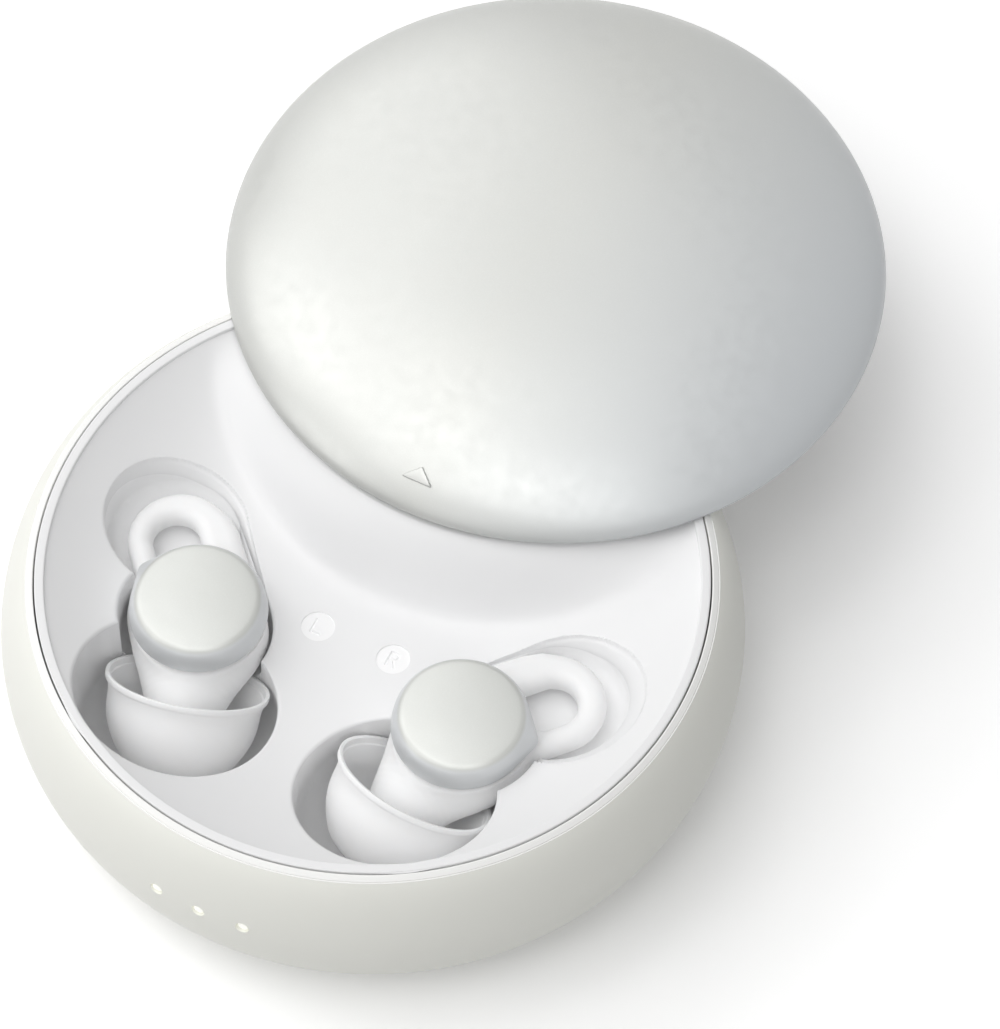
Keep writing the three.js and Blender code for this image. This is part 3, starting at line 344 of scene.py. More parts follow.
looks = {
    "shell_plastic": dict(colour=(0.955, 0.957, 0.897), shade=(0.945, 0.947, 0.887), rough=0.46, grain=0.07,
                          grainStrength=0.05, coat=0.1, coatRough=0.35,
                          rimColour=(0.985, 0.985, 0.965), rimHeights=(20.03, 20.0)),
    "tray_plastic": dict(colour=(0.885, 0.885, 0.889), shade=(0.875, 0.875, 0.88), rough=0.36, coat=0.15,
                         coatRough=0.25),
    # whiter finish: in the pockets it is painted light that lifts their shade; on the letter discs it is a
    # lighter tone
    "whiter_tone_and_painted_light": dict(colour=(0.985, 0.985, 0.988), shade=(0.98, 0.98, 0.983), rough=0.42, coat=0.1,
                          coatRough=0.3),
    # the lid's pearl paint; its cooler, darker side colour is painted shade over the lid's right half
    "pearl_paint": dict(colour=(0.575, 0.58, 0.557), shade=(0.565, 0.572, 0.553), rough=0.36, metal=0.42,
                        shadedSideColour=(0.55, 0.57, 0.585), shadedSideReach=(0, 26), grain=0.06, coat=0.1,
                        coatRough=0.3, pattern="flakes", flake=0.05, fleckColour=(0.63, 0.64, 0.62),
                        fleckShare=0.35),
    # the caps' paint; the cooler band round the lower side is partly a silver tone and partly painted light,
    # set lighter than the top to lift the side's shade
    "cap_paint": dict(colour=(0.62, 0.63, 0.603), shade=(0.61, 0.62, 0.598), rough=0.38, metal=0.3,
                      grain=0.06, coat=0.1, coatRough=0.25, rimColour=(0.7, 0.715, 0.725),
                      rimHeights=(18.62, 18.86), pattern="flakes", flake=0.05,
                      fleckColour=(0.67, 0.68, 0.655), fleckShare=0.35),
    "silicone": dict(colour=(0.985, 0.985, 0.987), shade=(0.98, 0.98, 0.982), rough=0.55, grain=0.12,
                     grainStrength=0.05, under=0.25, underDepth=0.5, sheen=0.08),
    "foot_rubber": dict(colour=(0.55, 0.56, 0.55), rough=0.8, grain=0.15, grainStrength=0.3, grainDepth=0.03),
    "white_plastic": dict(colour=(0.8, 0.8, 0.8), rough=0.5, grain=0.1, soften=0.12),
    "dark_plastic": dict(colour=(0.025, 0.026, 0.028), shade=(0.035, 0.036, 0.038), rough=0.5, grain=0.08,
                         grainStrength=0.1, soften=0.1),
    "light_guide": dict(colour=(0.95, 0.95, 0.9), rough=0.25, glow=0.35, glowColour=(1.0, 1.0, 0.93)),
    "steel": dict(colour=(0.6, 0.61, 0.62), rough=0.3, metal=1, pattern="brushed", soften=0.08),
    "gold_contact": dict(colour=(0.83, 0.62, 0.3), shade=(0.78, 0.56, 0.25), rough=0.24, metal=1,
                         soften=0.08),
    "circuit_board": dict(colour=(0.03, 0.11, 0.06), rough=0.45, pattern="traces",
                          lineColour=(0.06, 0.2, 0.1), soften=0.08),
    "battery_wrap": dict(colour=(0.32, 0.36, 0.4), rough=0.35, metal=0.3, pattern="wrap", soften=0.4),
    "foam": dict(colour=(0.09, 0.095, 0.1), rough=0.95, pattern="pores", pore=0.35),
    "magnet": dict(colour=(0.42, 0.43, 0.45), rough=0.28, metal=1, pattern="brushed", stretch=(6, 1, 1),
                   soften=0.1),
}
finishes = {name: makeFinish(name, look) for name, look in looks.items()}
print("finishes made")


def paint(piece, slot):
    piece.data.materials.clear()
    piece.data.materials.append(finishes[slot])
    return piece


for subpart in frame["record"]["subparts"]:
    paint(frame["nodes"][subpart["node"]], subpart["material_slot"])


# Outer bowl of the case, with its holes for the lights, the socket and the button

shell = dict(radius=32.0, belt=12.41, rim=20.45, rimRadius=28.75, footRadius=21.8, wall=1.6,
             upperSwell=1.58, lowerSwell=2.11, recessRadius=20.6, recessRoof=1.1, floor=2.7, floorEdge=1.2,
             rimLine=((29.42, 20.05), (29.34, 20.035), (29.3, 20.135)), rimRound=0.12, footRound=0.2,
             steps=40, sides=288)
lights = dict(places=dict(left=-4.0, middle=0.0, right=4.0), height=13.4, radius=0.45, hole=0.6, recess=0.12,
              reach=27.7, shellRadius=31.93, flange=0.85, flangeLength=0.45)
socket = dict(height=9.0, halfWidth=4.8, halfHeight=1.9, round=1.85)
button = dict(height=9.0, turn=20.0, hole=1.75)
cutFrom, lightCutFrom, cutTo = 24, 26, 34  # how far out the cutters begin and end


def shellOutline(steps):
    outline = []
    for i in range(steps + 1):
        share = math.cos(i / steps * math.pi / 2)
        swell = (1 - share ** shell["lowerSwell"]) ** (1 / shell["lowerSwell"])
        outline.append((shell["footRadius"] + (shell["radius"] - shell["footRadius"]) * swell,
                        shell["belt"] * (1 - share)))
    for i in range(1, steps + 1):
        share = math.cos(i / steps * math.pi / 2)
        swell = (1 - (1 - share) ** shell["upperSwell"]) ** (1 / shell["upperSwell"])
        outline.append((shell["rimRadius"] + (shell["radius"] - shell["rimRadius"]) * swell,
                        shell["rim"] - (shell["rim"] - shell["belt"]) * share))
    return outline


def turnedOut(x, y, height, quarter):
    # lays a form down so that its Z points out at the front (1) or at the back (-1)
    return Matrix.Translation((x, y, height)) @ Matrix.Rotation(quarter * math.pi / 2, 4, "X")


def buttonTurn():
    # Z points out of the case along the button's travel
    angle = math.radians(button["turn"])
    return Matrix(((math.cos(angle), 0, math.sin(angle), 0), (-math.sin(angle), 0, math.cos(angle), 0),
                   (0, -1, 0, button["height"]), (0, 0, 0, 1)))


def shellCutters():
    cutters = []
    for x in lights["places"].values():
        hole = rodForm(lights["hole"], 0, cutTo - lightCutFrom)
        cutters.append(placed(hole, turnedOut(x, -lightCutFrom, lights["height"], 1)))
    wide, high, soft = socket["halfWidth"], socket["halfHeight"], socket["round"]
    slot = roundedPath([(-wide, -high, soft), (wide, -high, soft), (wide, high, soft), (-wide, high, soft)],
                       steps=10, closed=True)
    cutters.append(placed(prismForm(slot, cutFrom, cutTo), turnedOut(0, 0, socket["height"], -1)))
    cutters.append(placed(rodForm(button["hole"], cutFrom, cutTo), buttonTurn()))
    return cutters


def makeShell():
    # a fine line sets the rim ring off
    outline = shellOutline(shell["steps"])[:-2] + list(shell["rimLine"])
    lipFoot = shell["rim"] - shell["wall"]
    inside = []
    for before, here, after in zip(outline, outline[1:], outline[2:]):
        along = unit(np.array(after) - np.array(before))
        inner = np.array(here) + shell["wall"] * np.array([-along[1], along[0]])
        if inner[1] > shell["floor"] and not (inner[1] > shell["belt"] and inner[0] < shell["rimRadius"]):
            inside.append(tuple(inner))
    # the hidden inner side needs a third of the points
    inside = [p for p in inside[::3] if p[1] < lipFoot]
    recess, roof = shell["recessRadius"], shell["recessRoof"]
    profile = [(0, roof), (recess, roof)]
    foot = [(recess, roof / 2, 0), (recess, 0, shell["footRound"]), (shell["footRadius"], 0, 0)]
    profile += roundedPath(foot)[1:-1]
    profile += outline
    profile += roundedPath([(*outline[-1], 0), (shell["rimRadius"], shell["rim"], shell["rimRound"]),
                            (shell["rimRadius"], lipFoot, 0)])[1:]
    profile += list(reversed(inside))
    profile += [(inside[0][0] - shell["floorEdge"], shell["floor"]), (0, shell["floor"])]
    form = turnedForm(profile, shell["sides"])
    piece = newPiece("case_bowl", form, "base", ["base_shell"], "shell_plastic")
    cutAway(piece, shellCutters())
    paint(piece, "shell_plastic")


makeShell()
print("outer bowl made")


# Dished tray as a fine sheet of triangles over the plan, with steep bands for the walls

tray = dict(lipRadius=28.62, lipInner=27.8, rim=20.45, lipStep=0.3, lipRound=0.1, lipDrop=0.07,
            bowlFloor=13.6, bowlPower=2.6, deckY=29.0, deckRadius=27.4, deckFlank=5.0, deckHeight=20.0,
            flankPower=1.6, creaseSoft=0.7, creaseShift=0.02, edgeRound=0.3, wingRound=0.6,
            wingRoundReach=0.5, stepDrop=0.3, stepWidth=0.14, stepSlope=0.55, wallBack=2.5, stepBack=3,
            wall=1.2, cupWall=1.0)
pocketZones = [dict(x=10.35, y=-16.25, radius=8.5, floor=5.4, fillet=6.0),
               dict(x=12.8, y=-8.3, radius=6.55, floor=8.8, fillet=4.0),
               dict(x=18.6, y=-1.5, radius=5.75, floor=12.6, fillet=2.4)]
wingSteps = {-1: dict(x=18.4, y=-1.1, radius=6.2), 1: dict(x=19.1, y=-1.65, radius=6.75)}
stepBody = dict(pocketZones[1], radius=pocketZones[1]["radius"] + 0.05)  # where the wing's step ends
pinHoles = [(side * 12.5 + shift, -5.2) for side in (-1, 1) for shift in (-1.5, 1.5)]
pinHoleRadius = 0.6
discs = dict(x=3.6, y=-3.4, radius=1.45, sunk=0.1, room=0.35, stroke=0.11, groove=0.2, height=1.3,
             width=0.8, rings=(1.455, 1.35, 1.25, 1.15), ringSpacing=0.09, cell=0.035, cellReach=1.05,
             cellRadius=1.04)
# The sheet has rings of points at these distances from each edge, and loose points between them
sheet = dict(band=0.03, cell=0.7, rowShare=0.87, reach=28, lipSpacing=0.5, edgeSpacing=0.35, wallSpacing=0.4,
             coarseSpacing=0.7, discSpacing=0.15, holeSpacing=0.2, clear=0.02, creaseReach=27.3,
             creaseGap=1.1, looseReach=27.5, creaseClear=(-1.5, 5.9), pocketClear=(-0.3, 1.2),
             lip=(28.59, 28.55, 28.48, 27.95, 27.88, 27.83, 27.8, 27.77, 27.6),
             crease=(-1.3, -0.9, -0.6, -0.3, 0, 0.3, 0.6, 0.9, 1.3, 1.8, 2.4, 3.1, 3.9, 4.7, 5.0, 5.6),
             disc=(-0.01, 0.01, 0.04, 0.1, 0.25),
             edge=(1.0, 0.75, 0.55, 0.4, 0.28, 0.2, 0.13, 0.08, 0.04, 0.015),
             step=(-0.1, -0.04, 0, 0.03, 0.06, 0.09, 0.12, 0.16, 0.25, 0.4),
             wall=(0.08, 0.17, 0.3, 0.5, 0.75, 1.05, 1.4, 1.8, 2.3, 2.9, 3.6, 4.4, 5.2, 6.0))


def trayHeight(x, y):
    radius = np.minimum(np.hypot(x, y), tray["lipInner"])
    bowl = tray["bowlFloor"] + (tray["rim"] - tray["lipStep"] - tray["bowlFloor"]) * (
        radius / tray["lipInner"]) ** tray["bowlPower"]
    inward = tray["deckRadius"] - np.hypot(x, y - tray["deckY"])
    inward = (inward + np.sqrt(inward ** 2 + tray["creaseSoft"] ** 2)) / 2 - tray["creaseShift"]
    share = np.clip(inward / tray["deckFlank"], 0, 1)
    climb = 1 - (1 - share) ** tray["flankPower"]
    return bowl + (tray["deckHeight"] - bowl) * climb


def bridgeLean(near, far):
    across = np.array([far["x"] - near["x"], far["y"] - near["y"]])
    closing = math.acos((near["radius"] - far["radius"]) / np.linalg.norm(across))
    return math.atan2(across[1], across[0]) + closing


def circleCross(a, b, grow, side=1):
    # where two grown circles meet on the outer side, or on the inner one, as the angles seen from each
    ra, rb = a["radius"] + grow, b["radius"] + grow
    ax, ay, bx, by = a["x"], a["y"], b["x"], b["y"]
    gap = math.hypot(bx - ax, by - ay)
    along = (gap ** 2 + ra ** 2 - rb ** 2) / (2 * gap)
    side *= math.sqrt(ra ** 2 - along ** 2)
    heading = math.atan2(by - ay, bx - ax)
    x = ax + along * math.cos(heading) + side * math.sin(heading)
    y = ay + along * math.sin(heading) - side * math.cos(heading)
    return math.atan2(y - ay, x - ax), math.atan2(y - by, x - bx)


def arcPoints(zone, grow, start, end, spacing):
    while end < start:
        end += 2 * math.pi
    radius = zone["radius"] + grow
    count = max(2, int(radius * (end - start) / spacing))
    return [(zone["x"] + radius * math.cos(start + (end - start) * i / count),
             zone["y"] + radius * math.sin(start + (end - start) * i / count)) for i in range(count + 1)]


def linePoints(start, end, spacing):
    count = max(1, int(math.dist(start, end) / spacing))
    return [(start[0] + (end[0] - start[0]) * i / count, start[1] + (end[1] - start[1]) * i / count)
            for i in range(1, count)]


def pocketOutline(side, grow, spacing=0.3):
    # round the tip, out along the body and the wing, and back by a straight wall
    tip, body, wing = pocketZones
    leanBack = bridgeLean(body, wing)
    tipEnd, bodyStart = circleCross(tip, body, grow)
    tipStart, bodyLast = circleCross(tip, body, grow, -1)
    bodyEnd, wingStart = circleCross(body, wing, grow)
    first = arcPoints(tip, grow, tipStart, tipEnd, spacing)
    second = arcPoints(body, grow, bodyStart, bodyEnd, spacing)
    third = arcPoints(wing, grow, wingStart, leanBack, spacing)
    fourth = arcPoints(body, grow, leanBack, bodyLast, spacing)
    outline = first + second[1:] + third[1:] + linePoints(third[-1], fourth[0], spacing) + fourth[:-1]
    return [(side * x, y) for x, y in outline]


def circleEdge(x, y, zone):
    return np.hypot(x - zone["x"], y - zone["y"]) - zone["radius"]


def wallEdge(x, y, near, far, back):
    # distance to the straight wall from one circle to the other, only beside it
    lean = bridgeLean(near, far)
    nx, ny = math.cos(lean), math.sin(lean)
    reach = (far["x"] - near["x"]) * ny - (far["y"] - near["y"]) * nx
    along = (x - near["x"]) * ny - (y - near["y"]) * nx
    off = (x - near["x"]) * nx + (y - near["y"]) * ny - near["radius"]
    within = (along > min(0, reach)) & (along < max(0, reach)) & (off > -back)
    return np.where(within, off, farAway)


def pocketEdge(x, y, side):
    # distance to the pocket's edge, negative inside
    edges = [circleEdge(side * x, y, zone) for zone in pocketZones]
    return np.minimum.reduce([*edges, wallEdge(side * x, y, *pocketZones[1:], tray["wallBack"])])


def stepEdge(x, y, side):
    # distance to the edge of the shallow step: a ring round the wing that runs on to the body
    step = wingSteps[side]
    return np.minimum(circleEdge(side * x, y, step), wallEdge(side * x, y, stepBody, step, tray["stepBack"]))


def pocketFloor(x, y, side, grow=0.0):
    x = side * x
    height = np.full(np.shape(x), farAway)
    for zone in pocketZones:
        fillet = zone["fillet"] + grow
        depth = zone["radius"] + grow - np.hypot(x - zone["x"], y - zone["y"])
        short = np.clip(fillet - depth, 0, fillet)
        floor = zone["floor"] - grow + fillet - np.sqrt(np.maximum(fillet ** 2 - short ** 2, 0))
        height = np.where(depth > sheet["band"] / 2, np.minimum(height, floor), height)
    depth = -pocketEdge(side * x, y, side) + grow
    short = np.clip(fillet - depth, 0, fillet)
    rise = fillet - np.sqrt(np.maximum(fillet ** 2 - short ** 2, 0))
    return np.where(height == farAway, pocketZones[2]["floor"] - grow + rise, height)


def traySurface(x, y, grow=0.0):
    # grow 0 is the upper side; a larger one is the lower side of the wall
    lower = tray["wall"] if grow else 0.0
    halfBand = sheet["band"] / 2
    radius = np.hypot(x, y)
    height = trayHeight(x, y) - lower
    if not grow:
        inDisc = np.hypot(np.abs(x) - discs["x"], y - discs["y"]) < discs["radius"]
        height = np.where(inDisc, height - discs["room"], height)
        onLip = radius > tray["lipInner"] - halfBand
        height = np.where(onLip, tray["rim"], height)
        for at, outward in ((tray["lipRadius"], -1), (tray["lipInner"], 1)):
            near = np.clip(1 - (radius - at) * outward / tray["lipRound"], 0, 1)
            height = np.where(onLip, height - tray["lipDrop"] * near ** 2, height)
    for side in (-1, 1):
        edge = pocketEdge(x, y, side) - grow
        if not grow:
            inward = -stepEdge(x, y, side)
            share = np.clip(inward / tray["stepWidth"], 0, 1)
            drop = tray["stepDrop"] * share * share * (3 - 2 * share)
            drop = drop + tray["stepSlope"] * np.maximum(inward, 0)
            height = np.where(edge > -halfBand, height - drop, height)
            # the edge is softer inside the wing's step
            roundness = tray["edgeRound"] + tray["wingRound"] * np.clip(
                inward / tray["wingRoundReach"], 0, 1)
            near = np.clip(1 - edge / roundness, 0, 1)
            drop = roundness * (1 - np.sqrt(np.maximum(1 - near ** 2, 0)))
            height = np.where((edge > -halfBand) & (edge < roundness), height - drop, height)
        height = np.where(edge < -halfBand, np.minimum(pocketFloor(x, y, side, grow), height), height)
    return height


def stepWall(side, inward):
    # the straight run of the step from the wing's ring to the body, on the inner side
    lean = bridgeLean(stepBody, wingSteps[side])
    ends = []
    for zone in (wingSteps[side], stepBody):
        radius = zone["radius"] - inward
        ends.append((side * (zone["x"] + radius * math.cos(lean)), zone["y"] + radius * math.sin(lean)))
    return linePoints(*ends, sheet["edgeSpacing"])


def circleOf(x, y, radius, spacing):
    count = max(16, int(2 * math.pi * radius / spacing))
    return [(x + radius * math.cos(2 * math.pi * i / count), y + radius * math.sin(2 * math.pi * i / count))
            for i in range(count)]


def traySheet(grow):
    coords, edges = [], []

    def addLoop(loop):
        start = len(coords)
        coords.extend(loop)
        edges.extend((start + i, start + (i + 1) % len(loop)) for i in range(len(loop)))
        return start, len(loop)

    def addClear(spots, side):
        # loose points, only outside the pocket
        coords.extend(spot for spot in spots if pocketEdge(*np.array(spot), side) > sheet["clear"])

    band = sheet["band"]
    outer = addLoop(circleOf(0, 0, tray["lipRadius"], sheet["lipSpacing"]))
    if not grow:
        for radius in sheet["lip"]:
            addLoop(circleOf(0, 0, radius, sheet["lipSpacing"]))
        for inward in sheet["crease"]:
            loop = circleOf(0, tray["deckY"], tray["deckRadius"] - inward, sheet["lipSpacing"])
            loop = [(x, y) for x, y in loop if math.hypot(x, y) < sheet["creaseReach"]]
            clear = [min(pocketEdge(x, y, side) for side in (-1, 1)) > sheet["creaseGap"]
                     for x, y in loop]
            coords.extend(spot for spot, keepIt in zip(loop, clear) if keepIt)
        for side in (-1, 1):
            for extra in sheet["disc"]:
                radius = discs["radius"] + extra
                addLoop(circleOf(side * discs["x"], discs["y"], radius, sheet["discSpacing"]))
    holes = [addLoop(circleOf(x, y, pinHoleRadius, sheet["holeSpacing"])) for x, y in pinHoles]
    offsets = (0, -band) if grow else (*sheet["edge"], 0, -band)
    edgeSpacing = sheet["coarseSpacing"] if grow else sheet["edgeSpacing"]
    wallSpacing = sheet["coarseSpacing"] if grow else sheet["wallSpacing"]
    for side in (-1, 1):
        for offset in offsets:
            addLoop(pocketOutline(side, grow + offset, edgeSpacing))
        if not grow:
            step = wingSteps[side]
            for inward in sheet["step"]:
                addClear(circleOf(side * step["x"], step["y"], step["radius"] - inward, edgeSpacing), side)
                addClear(stepWall(side, inward), side)
        for zone in pocketZones:
            for depth in (0, band, *sheet["wall"]):
                if depth > zone["fillet"] + 0.1:
                    continue
                loop = circleOf(side * zone["x"], zone["y"], zone["radius"] + grow - depth, wallSpacing)
                xs, ys = np.array(loop).T
                inside = pocketEdge(xs, ys, side) - grow < -band - sheet["clear"]
                # only the stretches of the ring that run inside the pocket
                start = len(coords)
                coords.extend(loop)
                for i in range(len(loop)):
                    after = (i + 1) % len(loop)
                    if inside[i] and inside[after] and depth <= band:
                        edges.append((start + i, start + after))
    # loose points over the rest of the surface
    size = sheet["cell"] * (2 if grow else 1)
    rows = np.arange(-sheet["reach"], sheet["reach"], size * sheet["rowShare"])
    columns = np.arange(-sheet["reach"], sheet["reach"], size)
    spots = [(x + (k % 2) * size / 2, y) for k, y in enumerate(rows) for x in columns]
    xs, ys = np.array(spots).T
    keep = np.hypot(xs, ys) < sheet["looseReach"]
    inward = tray["deckRadius"] - np.hypot(xs, ys - tray["deckY"])
    keep &= (inward < sheet["creaseClear"][0]) | (inward > sheet["creaseClear"][1])
    for side in (-1, 1):
        edge = pocketEdge(xs, ys, side) - grow
        keep &= (edge < sheet["pocketClear"][0]) | (edge > sheet["pocketClear"][1])
    for x, y in pinHoles:
        keep &= np.hypot(xs - x, ys - y) > 1.5 * pinHoleRadius
    fromDiscs = np.hypot(np.abs(xs) - discs["x"], ys - discs["y"]) - discs["radius"]
    keep &= np.abs(fromDiscs) > sheet["edgeSpacing"]
    coords.extend((float(x), float(y)) for x, y in zip(xs[keep], ys[keep]))
    out = delaunay_2d_cdt([Vector(c) for c in coords], edges, [], 0, 1e-5, True)
    flat = np.array([tuple(v) for v in out[0]])
    faces = [list(face) for face in out[2]]
    place = {}
    for made, sources in enumerate(out[3]):
        for source in sources:
            place[source] = made
    middles = np.array([flat[face].mean(0) for face in faces])
    keepFace = np.ones(len(faces), bool)
    for x, y in pinHoles:
        keepFace &= np.hypot(middles[:, 0] - x, middles[:, 1] - y) > pinHoleRadius - 0.02
    faces = [face for face, keepIt in zip(faces, keepFace) if keepIt]
    heights = traySurface(flat[:, 0], flat[:, 1], grow)
    loops = [[place[start + i] for i in range(count)] for start, count in [outer, *holes]]
    return np.column_stack([flat, heights]), faces, loops


def makeTray():
    top, topFaces, topLoops = traySheet(0.0)
    bottom, bottomFaces, bottomLoops = traySheet(tray["cupWall"])
    points = np.vstack([top, bottom])
    faces = list(topFaces) + [[corner + len(top) for corner in reversed(face)] for face in bottomFaces]
    for i, (upper, under) in enumerate(zip(topLoops, bottomLoops)):
        for k in range(len(upper)):
            after = (k + 1) % len(upper)
            face = [upper[k], under[k] + len(top), under[after] + len(top), upper[after]]
            faces.append(face if i == 0 else list(reversed(face)))
    piece = newPiece("case_tray", (points, faces), "base", ["inner_tray"], "tray_plastic", 40)
    paint(piece, "tray_plastic")
    # painted light: the pocket faces take a whiter finish that lifts the shade inside the pockets
    piece.data.materials.append(finishes["whiter_tone_and_painted_light"])
    middles = np.array([top[face].mean(0) for face in topFaces])
    deep = np.zeros(len(faces), int)
    for side in (-1, 1):
        deep[:len(topFaces)] |= pocketEdge(middles[:, 0], middles[:, 1], side) < -0.005
    piece.data.polygons.foreach_set("material_index", deep)
    return piece


trayPiece = makeTray()
print("tray made,", len(trayPiece.data.polygons), "faces")


# Sliding lid

lid = dict(y=35.4, z=20.75, radius=29.1, height=6.8, planPower=2.34, crownPower=1.79, rimWall=1.6,
           crownWall=1.3, innerBase=1.1, sides=256,
           edgeSteps=((0.35, 0), (0.14, 0.03), (0.03, 0.12)), innerRound=0.12,
           triangleWidth=3.0, triangleDepth=1.2, triangleFront=27.2, triangleRise=0.3, triangleRound=0.12,
           triangleSteps=((0.42, 1), (0.14, 1), (0.07, 0.95), (0.025, 0.75), (0.0, 0.4), (0.0, -1)))


def domeProfile(radius, height, base, steps):
    profile = []
    for i in range(steps + 1):
        share = math.cos(i / steps * math.pi / 2) ** (2 / lid["planPower"]) if i < steps else 0
        climb = (1 - share ** lid["planPower"]) ** (1 / lid["crownPower"])
        profile.append((radius * share, base + height * climb))
    return profile


def lidRise(radius):
    return lid["height"] * (1 - (radius / lid["radius"]) ** lid["planPower"]) ** (1 / lid["crownPower"])


def makeTriangle():
    # raised mark: rings from the middle out to the edge, then down into the dome
    front, half = -lid["triangleFront"], lid["triangleWidth"] / 2
    corners = [(-half, front), (half, front), (0, front + lid["triangleDepth"])]
    centre = np.mean(corners, axis=0)
    rise = lid["triangleRise"]
    rings = []
    for inset, share in lid["triangleSteps"]:
        shrunk = []
        for i in range(3):
            here = np.array(corners[i])
            inward = []
            for other in (corners[i - 1], corners[(i + 1) % 3]):
                inward.append(unit(np.array(other) - here))
            halfAngle = math.acos(float(inward[0] @ inward[1])) / 2
            middle = unit(inward[0] + inward[1])
            shrunk.append((*(here + middle * inset / math.sin(halfAngle)), lid["triangleRound"]))
        rings.append([(x, y, rise * share) for x, y in roundedPath(shrunk, 6, closed=True)])
    points, faces = [(centre[0], centre[1], rise)], []
    count = len(rings[0])
    for ring in rings:
        points.extend(ring)
    for k in range(count):
        after = (k + 1) % count
        faces.append([0, 1 + k, 1 + after])
        for r in range(len(rings) - 1):
            near, far = 1 + r * count, 1 + (r + 1) * count
            faces.append([near + k, far + k, far + after, near + after])
    placedPoints = []
    for x, y, height in points:
        radius = math.hypot(x, y)
        slope = (lidRise(radius + 0.01) - lidRise(radius - 0.01)) / 0.02  # over a hundredth to each side
        out = np.array([-slope * x / radius, -slope * y / radius, 1.0])
        placedPoints.append(np.array([x, y, lidRise(radius)]) + height * unit(out))
    return np.array(placedPoints), faces


def makeLid():
    edge = lid["radius"]
    inner = edge - lid["rimWall"]
    profile = [(inner, lid["innerBase"] / 2), (inner, lid["innerRound"]), (inner + lid["innerRound"], 0)]
    profile += [(edge - inset, height) for inset, height in lid["edgeSteps"]]
    profile += domeProfile(edge, lid["height"], 0, 44)[1:]
    hollow = domeProfile(inner, lid["height"] - lid["crownWall"] - lid["innerBase"], lid["innerBase"], 24)
    form = turnedForm(profile + list(reversed(hollow)), lid["sides"])
    form = placed(joined(form, makeTriangle()), Matrix.Translation((0, lid["y"], lid["z"])))
    paint(newPiece("lid_dome", form, "lid", ["lid_cover"], "pearl_paint"), "pearl_paint")


makeLid()
print("lid made")


# Foot pad

pad = dict(radius=20.3, thickness=0.8, edge=0.25, sides=192)
padForm = rodForm(pad["radius"], 0, pad["thickness"], pad["sides"], pad["edge"])
paint(newPiece("foot_disc", padForm, "base", ["foot_pad"], "foot_rubber"), "foot_rubber")
print("foot pad made")


# Light guides in the shell's three holes; their sizes are in the dictionary beside the shell's

def makeLightPipes():
    radius, reach, flange = lights["radius"], lights["reach"], lights["flange"]
    for word, x in lights["places"].items():
        mouth = math.sqrt(lights["shellRadius"] ** 2 - x ** 2) - lights["recess"]
        end = smoothCurve([(radius, mouth - 0.06), (radius * 0.85, mouth - 0.01),
                           (radius * 0.5, mouth + 0.03), (0, mouth + 0.04)], 3)
        profile = [(0, reach), (flange, reach), (flange, reach + lights["flangeLength"]),
                   (radius, reach + lights["flangeLength"])] + end
        form = placed(turnedForm(profile, 40), turnedOut(x, 0, lights["height"], 1))
        paint(newPiece(f"light_{word}", form, "base", [f"light_pipe_{word}"], "light_guide"), "light_guide")


makeLightPipes()
print("light guides made")


# Small sunk discs in the tray, each with a plain letter cut into it

def strokeDistance(x, y, path):
    nearest = np.full(np.shape(x), farAway)
    for (ax, ay), (bx, by) in zip(path, path[1:]):
        dx, dy = bx - ax, by - ay
        along = np.clip(((x - ax) * dx + (y - ay) * dy) / (dx * dx + dy * dy), 0, 1)
        nearest = np.minimum(nearest, np.hypot(x - ax - along * dx, y - ay - along * dy))
    return nearest


def makeDiscs():
    half, up = discs["width"] / 2, discs["height"] / 2
    arch = [(half * 0.3 + half * 0.62 * math.sin(a), up * 0.52 + up * 0.48 * math.cos(a))
            for a in np.linspace(0, math.pi, 12)]
    letters = {-1: [[(-half, up), (-half, -up), (half, -up)]],
               1: [[(-half, -up), (-half, up), *arch, (-half, up * 0.04)],
                   [(half * 0.1, up * 0.04), (half, -up)]]}
    for side, word in ((-1, "left"), (1, "right")):
        coords = []
        for radius in discs["rings"]:
            coords.extend(circleOf(0, 0, radius, discs["ringSpacing"]))
        grid = np.arange(-discs["cellReach"], discs["cellReach"] + 0.01, discs["cell"])
        coords.extend((float(x), float(y)) for x in grid for y in grid
                      if math.hypot(x, y) < discs["cellRadius"])
        out = delaunay_2d_cdt([Vector(c) for c in coords], [], [], 0, 1e-6, True)
        flat = np.array([tuple(v) for v in out[0]])
        x, y = flat[:, 0], flat[:, 1]
        middleX, middleY = side * discs["x"], discs["y"]
        flush = trayHeight(x + middleX, y + middleY) - discs["sunk"]
        height = flush
        for path in letters[side]:
            depth = np.clip(1 - (strokeDistance(x, y, path) / discs["stroke"]) ** 4, 0, 1)
            height = np.minimum(height, flush - discs["groove"] * depth)
        form = np.column_stack([x + middleX, y + middleY, height]), [list(face) for face in out[2]]
        # the discs take the whiter finish as a lighter tone than the tray
        paint(newPiece(f"disc_{word}", form, "base", (), "tray_plastic", 60), "whiter_tone_and_painted_light")


makeDiscs()
print("discs made")


# Foam under the battery

